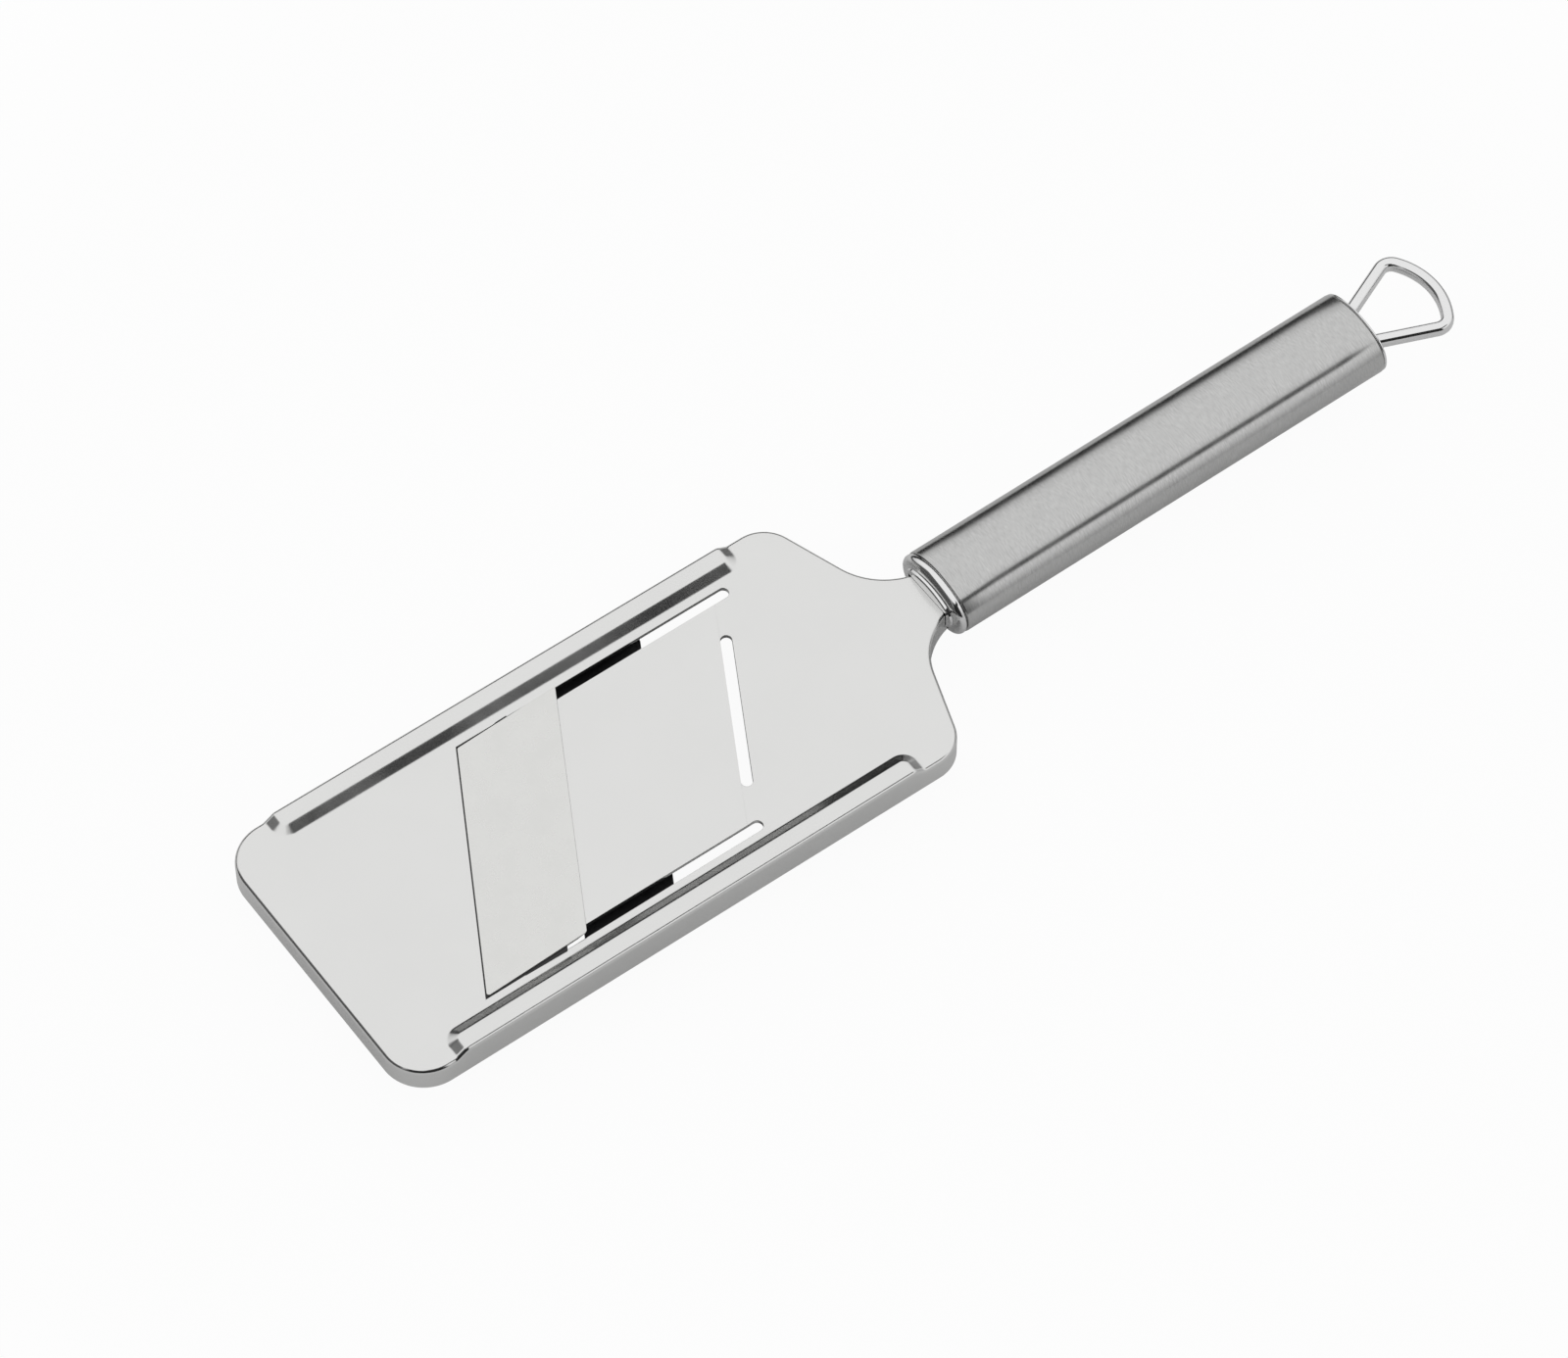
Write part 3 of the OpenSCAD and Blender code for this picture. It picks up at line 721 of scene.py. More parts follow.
class SLICER_OT_plate(bpy.types.Operator):
    """Presses the plate with its folded edge and rails, and punches its window and slots"""

    bl_idname = "slicer.plate"
    bl_label = "Pressed plate"

    def execute(self, context):
        plate = context.scene.plate_sizes
        window = context.scene.window_sizes
        outline = plate_outline(plate)
        fold = plate.fold_radius
        rings = [level(outline, -plate.flange), level(outline, -fold)]
        for k in range(1, 9):
            turn = math.pi / 2 * k / 8
            rings.append(level(grown(outline, -fold * (1 - math.cos(turn))), -fold + fold * math.sin(turn)))
        piece = loft("pressed_plate", rings, start_cap=False)
        self.score(piece, plate)
        for vertex in piece.data.vertices:
            if vertex.co.z > -fold - 1e-6:
                vertex.co.z += rail_rise(plate, vertex.co.x, vertex.co.y)
        apply_modifier(piece, "SOLIDIFY", thickness=plate.sheet, offset=-1.0, use_even_offset=True)
        points, hinge = window_outline(window)
        carve(piece, punch("window_cutter", points, plate, hinge))
        relief = [p - Vector((0.02 * MM, 0)) for p in relief_outline(window)]
        carve(piece, punch("relief_cutter", relief, plate))
        finish_piece(piece, "frame", satin_plate_steel(), ["slicer_plate"], 30.0, flat=True)
        return {"FINISHED"}

    def score(self, piece, plate):
        """Cuts the lines that the slopes of the rails bend along."""
        steps = 14
        zone = max(plate.rail_corner, plate.rail_slope)
        ends = (plate.rail_start, plate.rail_start + zone), (-zone, 0.0)
        for low, high in ends:
            for k in range(steps + 1):
                bisect(piece, (low + (high - low) * k / steps, 0, 0), (1, 0, 0))
        for k in range(steps + 1):
            y = plate.rail_foot + zone * k / steps
            bisect(piece, (0, y, 0), (0, 1, 0))
            bisect(piece, (0, -y, 0), (0, 1, 0))


class SLICER_OT_tongue(bpy.types.Operator):
    """Cuts the spring tongue that meets the plate at its ligaments"""

    bl_idname = "slicer.tongue"
    bl_label = "Cutting tongue"

    def execute(self, context):
        plate = context.scene.plate_sizes
        window = context.scene.window_sizes
        lean = 1 / math.cos(window.skew)
        hinge = window.relief - window.relief_width / 2 * lean
        front = window.blade_back + window.blade_width - 0.5 * MM * lean
        half = window.tongue_half
        hinge -= 0.015 * MM
        corners = [(front, -half), (hinge, -half), (hinge, half), (front, half)]
        outline = [slanted(window, x, y) for x, y in corners]
        edge = plate.punched_edge
        rings = [level(grown(outline, -edge, (1, 2)), -plate.sheet), level(outline, edge - plate.sheet)]
        for k in range(4):
            turn = math.radians(30 * k)
            rings.append(level(grown(outline, -edge * (1 - math.cos(turn)), (1, 2)), -edge + edge * math.sin(turn)))
        piece = loft("spring_tongue", rings)
        finish_piece(piece, "tongue", satin_plate_steel(), ["cutting_tongue"], 35.0, flat=True)
        return {"FINISHED"}


def blade_slope(window):
    """Turns a flat strip about the blade's back edge to its cutting angle."""
    strip = window.blade_width * math.cos(window.skew)
    tilt = math.asin(window.blade_rise / strip)
    seat = Matrix.Translation((window.blade_back, 0, -window.blade_sheet))
    return (
        seat @ Matrix.Rotation(-window.skew, 4, "Z") @ Matrix.Rotation(-tilt, 4, "Y")
        @ Matrix.Rotation(window.skew, 4, "Z")
    )


def strip_corners(window, start, stop, half, radii):
    """Corners of a skewed strip with their radii: near back, near front, far front, far back."""
    places = [(start, -half), (stop, -half), (stop, half), (start, half)]
    return [(*slanted(window, x, y), r) for (x, y), r in zip(places, radii)]


class SLICER_OT_blade(bpy.types.Operator):
    """Grinds the skewed blade and presses the lip that it is welded to"""

    bl_idname = "slicer.blade"
    bl_label = "Blade and lip"

    def execute(self, context):
        plate = context.scene.plate_sizes
        window = context.scene.window_sizes
        slope = blade_slope(window)
        thick = window.blade_sheet
        edge = 0.06 * MM
        radii = [0.5 * MM, 1.1 * MM, 0.4 * MM, 0.5 * MM]
        outline = rounded(strip_corners(window, 0, window.blade_width, window.blade_half, radii), 5)
        rings = [
            level(grown(outline, -edge), 0), level(outline, edge), level(outline, thick - edge),
            level(grown(outline, -edge), thick),
        ]
        blade = loft("ground_blade", rings)
        cutter = self.bevel_cutter(window)
        carve(blade, cutter)
        blade.data.transform(slope)
        finish_piece(blade, "frame", ground_blade_steel(), ["blade"], 12.0, flat=True)
        lean = 1 / math.cos(window.skew)
        lip = rounded(
            strip_corners(
                window, -2.4 * MM, window.lip_width * lean, window.window_half + 0.5 * MM, [0, 0.6 * MM, 0.6 * MM, 0]
            ), 5,
        )
        under = -0.02 * MM
        rings = [level(grown(lip, -0.1 * MM), under - plate.sheet), level(lip, under - 0.9 * plate.sheet), level(lip, under)]
        lip_piece = loft("blade_lip", rings)
        lip_piece.data.transform(slope)
        finish_piece(lip_piece, "frame", satin_plate_steel())
        # The strip made by seam is painted shade for the shadowed gap round the blade.
        self.seam(window, slope)
        return {"FINISHED"}

    def seam(self, window, slope):
        """Painted shade: a near-black strip set in the gap behind the blade and beside its ends, standing in for the
        shadow in that gap.
        """
        inner = window.blade_half - 0.3 * MM
        outer = window.window_half + 0.2 * MM
        near_end = 0.8 * window.blade_width
        far_end = 0.5 * window.blade_width
        back = -0.8 * MM
        front = 0.3 * MM
        corners = [
            (back, -outer), (near_end, -outer), (near_end, -inner), (front, -inner),
            (front, inner), (far_end, inner), (far_end, outer), (back, outer),
        ]
        outline = [slanted(window, x, y) for x, y in corners]
        rings = [level(outline, -0.5 * MM), level(outline, 0.2 * MM)]
        piece = loft("painted_seam_shade", rings)
        piece.data.transform(slope)
        # The near-black colour here paints the shadow in the gap; the real slicer has no part there.
        finish_piece(piece, "frame", dark_bridge_and_painted_seam_shade())

    def bevel_cutter(self, window):
        """A wedge that takes the ground bevel off the blade's underside."""
        strip = window.blade_width * math.cos(window.skew)
        reach = window.blade_width * 2
        rise = window.blade_sheet - window.edge_sheet
        wedge = [
            (strip - window.bevel_width, -0.01 * MM), (strip + 1 * MM, -0.01 * MM),
            (strip + 1 * MM, rise), (strip, rise),
        ]
        rings = [[Vector((u, side, w)) for u, w in wedge] for side in (reach, -reach)]
        cutter = loft("bevel_cutter", rings)
        cutter.data.transform(Matrix.Rotation(-window.skew, 4, "Z"))
        return cutter


# ---------------------------------------------------------------- adjuster


def bridge_path(half_reach, half_riser, top, floor, bend):
    """Middle line of the bridge strip across the plate: points (y, z) with the angle of its upper side."""
    path = []
    steps = 8
    path.append((-half_reach, top, 90.0))
    centre = Vector((-half_riser - bend, top - bend))
    for k in range(steps + 1):
        turn = 90.0 - 90.0 * k / steps
        t = math.radians(turn)
        path.append((centre.x + bend * math.cos(t), centre.y + bend * math.sin(t), turn))
    centre = Vector((-half_riser + bend, floor + bend))
    for k in range(steps + 1):
        turn = 90.0 * k / steps
        t = math.radians(turn + 180.0)
        path.append((centre.x + bend * math.cos(t), centre.y + bend * math.sin(t), turn))
    return path + [(-y, z, 180.0 - turn) for y, z, turn in reversed(path)]


class SLICER_OT_bridge(bpy.types.Operator):
    """Bends the dark strip that bridges the underside of the plate"""

    bl_idname = "slicer.bridge"
    bl_label = "Adjuster bridge"

    def execute(self, context):
        sizes = context.scene.adjuster_sizes
        window = context.scene.window_sizes
        low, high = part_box("adjuster_bridge")
        thick = sizes.bridge_sheet
        middle = sizes.bend + thick / 2
        riser = 33.5 * MM
        path = bridge_path(high.y, riser, high.z - thick / 2, low.z + thick / 2, middle)
        half = sizes.bridge_width / 2
        edge = 0.2 * MM
        section = [
            (-half + edge, -thick / 2), (half - edge, -thick / 2), (half, edge - thick / 2),
            (half, thick / 2 - edge), (half - edge, thick / 2), (-half + edge, thick / 2),
            (-half, thick / 2 - edge), (-half, edge - thick / 2),
        ]
        rings = []
        for y, z, turn in path:
            t = math.radians(turn)
            ring = []
            for along, out in section:
                there = y + out * math.cos(t)
                ring.append(
                    Vector((sizes.centre + along + there * math.tan(window.skew), there, z + out * math.sin(t)))
                )
            rings.append(ring)
        piece = loft("adjuster_bridge_strip", rings)
        bisect(piece, (high.x, 0, 0), (1, 0, 0), keep_below=True)
        bisect(piece, (low.x, 0, 0), (-1, 0, 0), keep_below=True)
        hole = turned("bridge_hole", sizes.centre, [(2.9 * MM, low.z - thick), (2.9 * MM, low.z + 3 * thick)])
        carve(piece, hole)
        finish_piece(piece, "frame", dark_bridge_and_painted_seam_shade(), ["adjuster_bridge"], 30.0, flat=True)
        return {"FINISHED"}


class SLICER_OT_fasteners(bpy.types.Operator):
    """Turns the nut, the washer, the threaded screw and the nylon pad"""

    bl_idname = "slicer.fasteners"
    bl_label = "Nut, washer, screw and pad"

    def execute(self, context):
        sizes = context.scene.adjuster_sizes
        self.nut(sizes)
        self.washer(sizes)
        self.screw(sizes)
        self.pad(sizes)
        return {"FINISHED"}

    def nut(self, sizes):
        """A hexagon nut with chamfered corners."""
        low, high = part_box("bridge_nut")
        flat = sizes.nut_flats / 2
        bore = 2.45 * MM
        count = 96

        def hexagon(z, limit):
            ring = []
            for k in range(count):
                t = 2 * math.pi * k / count
                toward = (t + math.pi / 6) % (math.pi / 3) - math.pi / 6
                radius = min(limit, flat / math.cos(toward))
                ring.append(Vector((sizes.centre + radius * math.sin(t), radius * math.cos(t), z)))
            return ring

        def round_ring(z, radius):
            turns = [2 * math.pi * k / count for k in range(count)]
            return [Vector((sizes.centre + radius * math.sin(t), radius * math.cos(t), z)) for t in turns]

        rings = [round_ring(low.z + 0.35 * MM, bore), round_ring(low.z, bore + 0.35 * MM)]
        steps = [(0.0, -0.1), (0.12, 0.1), (0.25, 0.32), (0.4, 0.6)]
        rings += [hexagon(low.z + rise * MM, flat + out * MM) for rise, out in steps]
        rings += [hexagon(high.z - rise * MM, flat + out * MM) for rise, out in reversed(steps)]
        rings += [round_ring(high.z, bore + 0.35 * MM), round_ring(high.z - 0.35 * MM, bore)]
        piece = loft("hexagon_nut", rings, closed=True)
        finish_piece(piece, "frame", plain_fastener_steel(), ["bridge_nut"], 24.0)

    def washer(self, sizes):
        """A flat washer with broken edges."""
        low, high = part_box("nut_washer")
        outer = (high.y - low.y) / 2
        inner = 2.9 * MM
        edge = 0.1 * MM
        profile = [
            (inner, low.z + edge), (inner + edge, low.z), (outer - edge, low.z), (outer, low.z + edge),
            (outer, high.z - edge), (outer - edge, high.z), (inner + edge, high.z), (inner, high.z - edge),
        ]
        piece = turned("plain_washer", sizes.centre, profile, closed=True)
        finish_piece(piece, "frame", plain_fastener_steel(), ["nut_washer"])

    def screw(self, sizes):
        """The adjuster screw with its thread and a plain tip."""
        low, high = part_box("adjuster_screw")
        crest = (high.y - low.y) / 2
        count = 32
        rows = 10
        step = sizes.pitch / rows
        tip = 1.4 * MM
        rings = [circle(sizes.centre, crest - sizes.thread_depth, low.z, count)]
        total = int((high.z - tip - low.z) / step)
        for row in range(total):
            z = low.z + row * step
            ring = []
            for k in range(count):
                t = 2 * math.pi * k / count
                phase = (row / rows - k / count) % 1.0
                cut = sizes.thread_depth * min(1.0, max(0.0, abs(phase - 0.5) * 2.4 - 0.1))
                radius = crest - cut
                ring.append(Vector((sizes.centre + radius * math.cos(t), radius * math.sin(t), z + step / 2)))
            rings.append(ring)
        neck = crest - sizes.thread_depth * 0.9
        rings.append(circle(sizes.centre, neck, high.z - tip, count))
        rings.append(circle(sizes.centre, neck, high.z - 0.2 * MM, count))
        rings.append(circle(sizes.centre, neck - 0.2 * MM, high.z, count))
        piece = loft("threaded_screw", rings)
        finish_piece(piece, "adjuster", plain_fastener_steel(), ["adjuster_screw"], 40.0)

    def pad(self, sizes):
        """The domed nylon pad under the tongue."""
        low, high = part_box("pressure_pad")
        outer = (high.y - low.y) / 2
        bore = 2.45 * MM
        profile = [
            (bore, low.z + 0.8 * MM), (bore, low.z + 0.15 * MM), (bore + 0.15 * MM, low.z),
            (outer - 0.2 * MM, low.z), (outer, low.z + 0.2 * MM), (outer, high.z - 0.45 * MM),
        ]
        for k in range(1, 9):
            share = k / 9
            profile.append((outer * math.cos(share * math.pi / 2), high.z - 0.45 * MM * (1 - share) ** 2))
        piece = turned("nylon_pad", sizes.centre, profile)
        finish_piece(piece, "pad", natural_nylon(), ["pressure_pad"], 40.0)


class SLICER_OT_knob(bpy.types.Operator):
    """Moulds the grooved knob with its brass insert and its cap"""

    bl_idname = "slicer.knob"
    bl_label = "Adjuster knob"

    def execute(self, context):
        sizes = context.scene.adjuster_sizes
        self.body(sizes)
        self.insert(sizes)
        self.cap(sizes)
        return {"FINISHED"}

    def body(self, sizes):
        """The grooved body, hollow for the insert above and the cap below."""
        low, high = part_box("adjuster_knob")
        outer = (high.x - low.x) / 2 + 0.1 * MM
        outer = min(outer, 12.0 * MM)
        insert_low, insert_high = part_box("knob_insert")
        insert = (insert_high.x - insert_low.x) / 2
        cap_low, cap_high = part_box("knob_cap")
        recess = (cap_high.x - cap_low.x) / 2 + 0.05 * MM
        count = 16 * sizes.grooves

        def grooved(radius, z):
            share = (radius - recess) / (outer - recess)
            ring = []
            for k in range(count):
                t = 2 * math.pi * k / count
                dip = (0.5 + 0.5 * math.cos(sizes.grooves * t)) ** 3
                reach = radius - sizes.groove_depth * dip * smoothstep(share * 1.3 - 0.3)
                ring.append(Vector((sizes.centre + reach * math.cos(t), reach * math.sin(t), z)))
            return ring

        rings = [circle(sizes.centre, insert, insert_low.z - 0.2 * MM, count)]
        rings.append(circle(sizes.centre, insert, high.z - 0.15 * MM, count))
        rings.append(circle(sizes.centre, insert + 0.15 * MM, high.z, count))
        rings.append(circle(sizes.centre, insert + 1.2 * MM, high.z, count))
        for k in range(7):
            t = math.pi / 2 * k / 6
            inward = sizes.fillet * (1 - math.sin(t))
            rings.append(grooved(outer - inward, high.z - sizes.fillet * (1 - math.cos(t))))
        for k in range(6, -1, -1):
            t = math.pi / 2 * k / 6
            inward = sizes.fillet * (1 - math.sin(t))
            rings.append(grooved(outer - inward, low.z + sizes.fillet * (1 - math.cos(t))))
        rings.append(circle(sizes.centre, recess + 0.25 * MM, low.z, count))
        rings.append(circle(sizes.centre, recess, low.z + 0.25 * MM, count))
        rings.append(circle(sizes.centre, recess, cap_high.z, count))
        piece = loft("grooved_knob", rings)
        finish_piece(piece, "adjuster", black_knob_plastic(), ["adjuster_knob"], 40.0)

    def insert(self, sizes):
        """The turned brass insert."""
        low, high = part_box("knob_insert")
        outer = (high.x - low.x) / 2
        bore = 2.4 * MM
        edge = 0.3 * MM
        profile = [
            (bore, low.z + edge), (bore + edge, low.z), (outer - edge, low.z), (outer, low.z + edge),
            (outer, high.z - edge), (outer - edge, high.z), (bore + edge, high.z), (bore, high.z - edge),
        ]
        piece = turned("brass_insert", sizes.centre, profile, closed=True)
        finish_piece(piece, "adjuster", turned_brass(), ["knob_insert"])

    def cap(self, sizes):
        """The flat cap in the knob's underside, with a shallow dish."""
        low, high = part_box("knob_cap")
        outer = (high.x - low.x) / 2
        edge = 0.25 * MM
        profile = [
            (outer * 0.05, low.z + 0.35 * MM), (outer * 0.55, low.z + 0.3 * MM), (outer * 0.7, low.z + 0.08 * MM),
            (outer * 0.78, low.z), (outer - edge, low.z), (outer, low.z + edge), (outer, high.z),
        ]
        piece = turned("knob_cap_disc", sizes.centre, profile)
        finish_piece(piece, "adjuster", black_knob_plastic(), ["knob_cap"], 30.0)


# ---------------------------------------------------------------- handle


def along_handle(handle, x, y, z):
    """A point given along, across and above the tube's axis, put in the object's frame."""
    c, s = math.cos(handle.tilt), math.sin(handle.tilt)
    return Vector((handle.front + x * c - z * s, y, -handle.drop + x * s + z * c))


def oval(handle, x, inset=0.0, share=1.0):
    """A ring of the handle's four-arc oval section at a station along it, moved in by inset and scaled."""
    side = handle.side_radius
    across = handle.width / 2 - side
    up = handle.height / 2
    top = (across * across + up * up - side * side) / (2 * (up - side))
    turn = math.atan2(across, top - up)
    wide = math.pi / 2 - turn
    arcs = [
        (across, 0.0, side, -wide, wide, 30),
        (0.0, up - top, top, wide, math.pi - wide, 22),
        (-across, 0.0, side, math.pi - wide, math.pi + wide, 30),
        (0.0, top - up, top, math.pi + wide, 2 * math.pi - wide, 22),
    ]
    ring = []
    for cy, cz, radius, start, stop, steps in arcs:
        for k in range(steps):
            t = start + (stop - start) * k / steps
            y = cy + (radius - inset) * math.cos(t)
            z = cz + (radius - inset) * math.sin(t)
            ring.append(along_handle(handle, x, y * share, z * share))
    return ring


class SLICER_OT_tube(bpy.types.Operator):
    """Draws the oval handle tube"""

    bl_idname = "slicer.tube"
    bl_label = "Handle tube"

    def execute(self, context):
        handle = context.scene.handle_sizes
        edge = 0.3 * MM
        end = handle.length
        wall = handle.wall
        stations = [(edge * (1 - math.sin(t)), edge * (1 - math.cos(t))) for t in (math.pi / 2, 1.05, 0.52, 0.0)]
        rings = [oval(handle, x, inset) for x, inset in stations]
        rings += [oval(handle, end * k / 12) for k in range(1, 12)]
        rings += [oval(handle, end - x, inset) for x, inset in reversed(stations)]
        rings += [oval(handle, end, wall - 0.1 * MM), oval(handle, end - 0.1 * MM, wall)]
        rings += [oval(handle, 0.1 * MM, wall), oval(handle, 0.0, wall - 0.1 * MM)]
        piece = loft("oval_tube", rings, closed=True)
        finish_piece(piece, "frame", brushed_handle_steel(), ["handle_tube"], 40.0)
        return {"FINISHED"}


class SLICER_OT_ferrule(bpy.types.Operator):
    """Turns the polished ferrule that the neck of the plate enters"""

    bl_idname = "slicer.ferrule"
    bl_label = "Front ferrule"

    def execute(self, context):
        handle = context.scene.handle_sizes
        plate = context.scene.plate_sizes
        spigot = handle.wall + 0.05 * MM
        profile = [
            (7.8, spigot / MM + 0.2), (7.6, spigot / MM), (-0.3, spigot / MM), (-0.32, 0.4), (-0.45, 0.2),
            (-0.65, 0.12), (-1.0, 0.1), (-1.35, 0.16), (-1.7, 0.34), (-2.0, 0.62), (-2.22, 0.98), (-2.36, 1.4),
            (-2.42, 1.9), (-2.42, 2.6), (-2.5, 2.78), (-2.75, 2.9), (-3.0, 3.0), (-3.14, 3.2), (-3.2, 3.5),
        ]
        rings = [oval(handle, x * MM, inset * MM) for x, inset in profile]
        piece = loft("front_ferrule_shell", rings)
        clearance = 0.12 * MM
        outline = grown(plate_outline(plate), clearance)
        neck = loft("neck_cutter", [level(outline, -plate.flange - clearance), level(outline, clearance)])
        carve(piece, neck)
        finish_piece(piece, "frame", polished_steel(), ["front_ferrule"], 32.0)
        return {"FINISHED"}


def wire_section(handle, grow=0.0, steps=5):
    """Section of the loop wire: points (outwards, up)."""
    w = handle.wire_width / 2
    h = handle.wire_height / 2
    r = handle.wire_corner
    corners = [(w, -h, r), (w, h, r), (-w, h, r), (-w, -h, r)]
    return grown(rounded(corners, steps), grow)


def loop_stations(handle):
    """Stations of the loop in its own plane: points (behind the tube, across) and their outward angle."""
    splay = handle.leg_splay
    along = Vector((math.cos(splay), math.sin(splay)))
    side = Vector((-math.sin(splay), math.cos(splay)))
    foot = Vector((handle.leg_foot, handle.leg_half))
    centre = Vector((handle.loop_length - handle.wire_width / 2 - handle.end_bar, 0))
    start = foot - handle.corner * side - centre
    half = start.dot(along)
    reach = math.sqrt(half * half - start.length_squared + (handle.end_bar - handle.corner) ** 2) - half
    corner = centre + start + reach * along
    bar = math.atan2(corner.y, corner.x - centre.x)
    leg = math.pi / 2 + splay
    root = foot - handle.leg_root * along
    run = (corner + handle.corner * side - root).length
    stations = [(root + along * run * k / 6, leg) for k in range(6)]
    for k in range(17):
        turn = leg + (bar - leg) * k / 16
        stations.append((corner + handle.corner * Vector((math.cos(turn), math.sin(turn))), turn))
    end = []
    for k in range(1, 40):
        turn = bar * (1 - 2 * k / 40)
        end.append((centre + handle.end_bar * Vector((math.cos(turn), math.sin(turn))), turn))
    mirrored = [(Vector((p.x, -p.y)), -turn) for p, turn in reversed(stations)]
    return stations + end + mirrored


class SLICER_OT_cap_and_loop(bpy.types.Operator):
    """Domes the rear cap and bends the hanging loop"""

    bl_idname = "slicer.cap_and_loop"
    bl_label = "Rear cap and hanging loop"

    def execute(self, context):
        handle = context.scene.handle_sizes
        self.loop(handle)
        self.cap(handle)
        return {"FINISHED"}

    def loop(self, handle):
        """The bent wire loop."""
        piece = self.sweep("wire_loop", handle, loop_stations(handle), 0.0)
        finish_piece(piece, "frame", polished_steel(), ["hanging_loop"], 40.0)

    def sweep(self, name, handle, stations, grow):
        """Runs the wire's section through stations behind the tube."""
        rings = []
        for point, turn in stations:
            ring = []
            for out, up in wire_section(handle, grow):
                x = point.x + out * math.cos(turn)
                y = point.y + out * math.sin(turn)
                ring.append(along_handle(handle, handle.length + x, y, up))
            rings.append(ring)
        return loft(name, rings)

    def cap(self, handle):
        """The domed cap with a thin rim, bored for the loop's legs."""
        end = handle.length
        spigot = handle.wall + 0.05 * MM
        rings = [oval(handle, end - 7.8 * MM, spigot + 0.2 * MM), oval(handle, end - 7.6 * MM, spigot)]
        rings += [oval(handle, end + 0.12 * MM, spigot), oval(handle, end + 0.14 * MM, 0.4 * MM)]
        rim = [(0.25, 0.2), (0.42, 0.1), (0.62, 0.12), (0.78, 0.28)]
        rings += [oval(handle, end + x * MM, inset * MM) for x, inset in rim]
        base = 0.86 * MM
        for k in range(1, 13):
            share = math.cos(math.pi / 2 * k / 12.4)
            rings.append(oval(handle, end + base + (handle.dome - base) * (1 - share**2.2), 0.45 * MM, share))
        piece = loft("domed_cap", rings)
        stations = loop_stations(handle)[:6]
        mirrored = [(Vector((p.x, -p.y)), -turn) for p, turn in stations]
        for number, leg in enumerate((stations, mirrored)):
            carve(piece, self.sweep(f"leg_cutter_{number}", handle, leg, 0.12 * MM))
        finish_piece(piece, "frame", polished_steel(), ["rear_cap"], 32.0)


class SLICER_OT_tang(bpy.types.Operator):
    """Gives the block round the tang its plain finish"""

    bl_idname = "slicer.tang"
    bl_label = "Tang block"

    def execute(self, context):
        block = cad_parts["tang_block"]
        block.data.materials.clear()
        block.data.materials.append(plain_fastener_steel())
        return {"FINISHED"}


# ---------------------------------------------------------------- studio


def floor_material():
    """A pale floor that the camera sees nearly white, with the object's soft shadow kept."""
    material, tree, shader = new_material("studio_floor")
    shader.inputs["Base Color"].default_value = (0.58, 0.58, 0.58, 1.0)
    shader.inputs["Roughness"].default_value = 0.9
    shader.inputs["Specular IOR Level"].default_value = 0.0
    glow = place(tree, "ShaderNodeEmission", Color=(1.0, 1.0, 1.0, 1.0), Strength=1.0)
    path = place(tree, "ShaderNodeLightPath")
    where = place(tree, "ShaderNodeTexCoord").outputs["Object"]
    reach = place(tree, "ShaderNodeVectorMath", {"operation": "LENGTH"})
    tree.links.new(where, reach.inputs[0])
    white = remap(tree, reach.outputs["Value"], 0.2, 0.4, 0.95, 1.0)
    seen = calc(tree, "MULTIPLY", path.outputs["Is Camera Ray"], white)
    mix = tree.nodes.new("ShaderNodeMixShader")
    output = next(n for n in tree.nodes if n.type == "OUTPUT_MATERIAL")
    tree.links.new(seen, mix.inputs[0])
    tree.links.new(shader.outputs["BSDF"], mix.inputs[1])
    tree.links.new(glow.outputs["Emission"], mix.inputs[2])
    clear = tree.nodes.new("ShaderNodeBsdfTransparent")
    under = tree.nodes.new("ShaderNodeMixShader")
    tree.links.new(tree.nodes.new("ShaderNodeNewGeometry").outputs["Backfacing"], under.inputs[0])
    tree.links.new(mix.outputs["Shader"], under.inputs[1])
    tree.links.new(clear.outputs["BSDF"], under.inputs[2])
    tree.links.new(under.outputs["Shader"], output.inputs["Surface"])
    return material


def zone(tree, around, height, across, up):
    """A soft-edged patch of the room: 1 inside, 0 outside, from its limits in degrees."""
    value = calc(
        tree, "MULTIPLY", remap(tree, around, across[0], across[1], 0.0, 1.0),
        remap(tree, around, across[2], across[3], 1.0, 0.0),
    )
    value = calc(tree, "MULTIPLY", value, remap(tree, height, up[0], up[1], 0.0, 1.0))
    return calc(tree, "MULTIPLY", value, remap(tree, height, up[2], up[3], 1.0, 0.0))


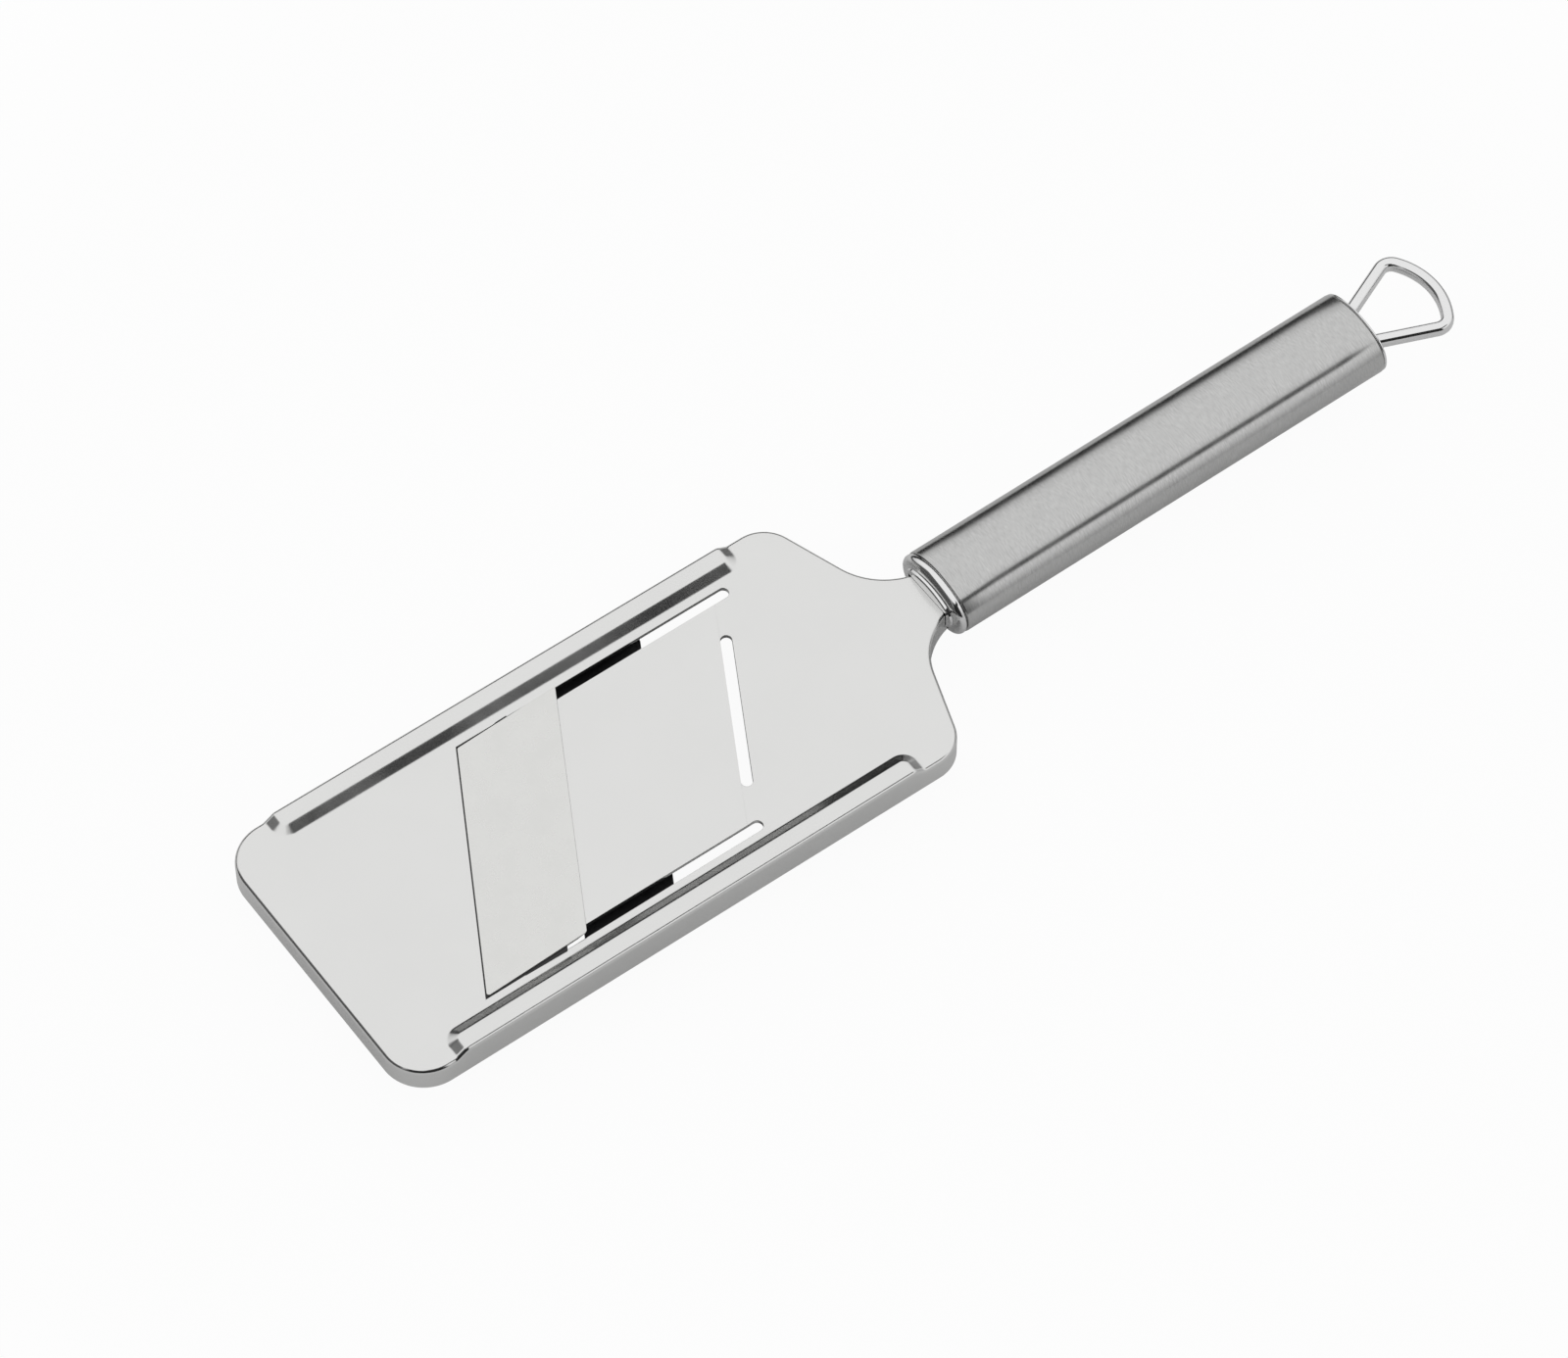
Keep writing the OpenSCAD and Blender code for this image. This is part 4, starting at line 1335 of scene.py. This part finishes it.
def studio_world():
    """A white room for the camera; metal sees a white dome above a dark wall, higher on the near side."""
    world = bpy.data.worlds.new("studio")
    bpy.context.scene.world = world
    world.use_nodes = True
    tree = world.node_tree
    tree.nodes.clear()
    where = place(tree, "ShaderNodeTexCoord").outputs["Generated"]
    parts = place(tree, "ShaderNodeSeparateXYZ", Vector=where)
    height = calc(tree, "DEGREES", calc(tree, "ARCSINE", parts.outputs["Z"]))
    around = calc(tree, "DEGREES", calc(tree, "ARCTAN2", parts.outputs["X"], calc(tree, "MULTIPLY", parts.outputs["Y"], -1.0)))
    wall = zone(tree, around, height, (-82, -66, 4, 14), (-20, -10, 47, 52))
    strip = zone(tree, around, height, (-40, -25, 44, 60), (42, 46, 57, 61))
    tip_strip = zone(tree, around, height, (-150, -138, -82, -70), (4, 8, 40, 46))
    far_strip = zone(tree, around, height, (118, 138, 185, 190), (-10, -5, 16, 23))
    low = zone(tree, around, height, (-190, -185, 2, 14), (-10, -6, 8, 12))
    low_far = zone(tree, around, height, (66, 80, 185, 190), (-10, -6, 8, 12))
    dark = wall
    for more, depth in ((strip, 1.0), (tip_strip, 0.9), (far_strip, 1.0), (low, 0.85), (low_far, 0.85)):
        dark = calc(tree, "MAXIMUM", dark, calc(tree, "MULTIPLY", more, depth))
    fall = remap(tree, height, -10.0, 40.0, 0.45, 1.0)
    level_out = calc(tree, "MULTIPLY", fall, calc(tree, "MULTIPLY_ADD", dark, -0.98, 1.0))
    path = place(tree, "ShaderNodeLightPath")
    mirror = path.outputs["Is Glossy Ray"]
    strength = place(tree, "ShaderNodeMix", {"data_type": "FLOAT"}, Factor=mirror)
    strength.inputs[2].default_value = 1.0
    tree.links.new(level_out, strength.inputs[3])
    back = place(tree, "ShaderNodeBackground", Color=(1.0, 1.0, 1.0, 1.0), Strength=strength.outputs[0])
    output = tree.nodes.new("ShaderNodeOutputWorld")
    tree.links.new(back.outputs["Background"], output.inputs["Surface"])


class SLICER_OT_studio(bpy.types.Operator):
    """Lays the floor, lights the room and sets the camera"""

    bl_idname = "slicer.studio"
    bl_label = "Studio"

    def execute(self, context):
        scene = context.scene
        studio = scene.studio_settings
        clear_selection()
        bpy.ops.mesh.primitive_plane_add(size=2 * studio.floor_half, location=(0, 0, CAD_BOX[0].z - 0.02 * MM))
        floor = context.object
        floor.name = "studio_floor"
        floor.data.materials.append(floor_material())
        studio_world()
        e, a = studio.elevation, studio.azimuth
        back = Vector((math.sin(a) * math.cos(e), -math.cos(a) * math.cos(e), math.sin(e)))
        bpy.ops.object.camera_add(location=Vector(studio.aim) + back * studio.distance)
        camera = context.object
        camera.name = "studio_camera"
        camera.rotation_mode = "QUATERNION"
        camera.rotation_quaternion = (-back).to_track_quat("-Z", "Y")
        camera.data.lens = studio.lens
        camera.data.sensor_width = 36.0
        camera.data.clip_start = 0.01
        camera.data.clip_end = 20.0
        scene.camera = camera
        scene.view_settings.view_transform = "Standard"
        return {"FINISHED"}


class SLICER_PT_pieces(bpy.types.Panel):
    """Lists the slicer's pieces"""

    bl_label = "Mandoline slicer"
    bl_idname = "SLICER_PT_pieces"
    bl_space_type = "VIEW_3D"
    bl_region_type = "UI"
    bl_category = "Slicer"

    def draw(self, context):
        for operator in OPERATORS:
            self.layout.operator(operator.bl_idname)
        for name in GROUPS:
            box = self.layout.box()
            group = getattr(context.scene, name)
            for key in group.__annotations__:
                box.prop(group, key)


GROUPS = {
    "plate_sizes": PlateSizes,
    "window_sizes": WindowSizes,
    "adjuster_sizes": AdjusterSizes,
    "handle_sizes": HandleSizes,
    "finishes": Finishes,
    "studio_settings": StudioSettings,
}
OPERATORS = [
    SLICER_OT_studio,
    SLICER_OT_plate,
    SLICER_OT_tongue,
    SLICER_OT_blade,
    SLICER_OT_bridge,
    SLICER_OT_fasteners,
    SLICER_OT_knob,
    SLICER_OT_tube,
    SLICER_OT_ferrule,
    SLICER_OT_cap_and_loop,
    SLICER_OT_tang,
]


def register():
    """Registers the settings, the operators and the panel."""
    for name, group in GROUPS.items():
        bpy.utils.register_class(group)
        setattr(bpy.types.Scene, name, PointerProperty(type=group))
    for operator in OPERATORS:
        bpy.utils.register_class(operator)
    bpy.utils.register_class(SLICER_PT_pieces)


def unregister():
    """Takes back everything that register added."""
    bpy.utils.unregister_class(SLICER_PT_pieces)
    for operator in reversed(OPERATORS):
        bpy.utils.unregister_class(operator)
    for name, group in GROUPS.items():
        delattr(bpy.types.Scene, name)
        bpy.utils.unregister_class(group)


def main():
    """Builds the slicer and its studio."""
    register()
    for operator in OPERATORS:
        family, name = operator.bl_idname.split(".")
        getattr(getattr(bpy.ops, family), name)()


if __name__ == "__main__":
    main()
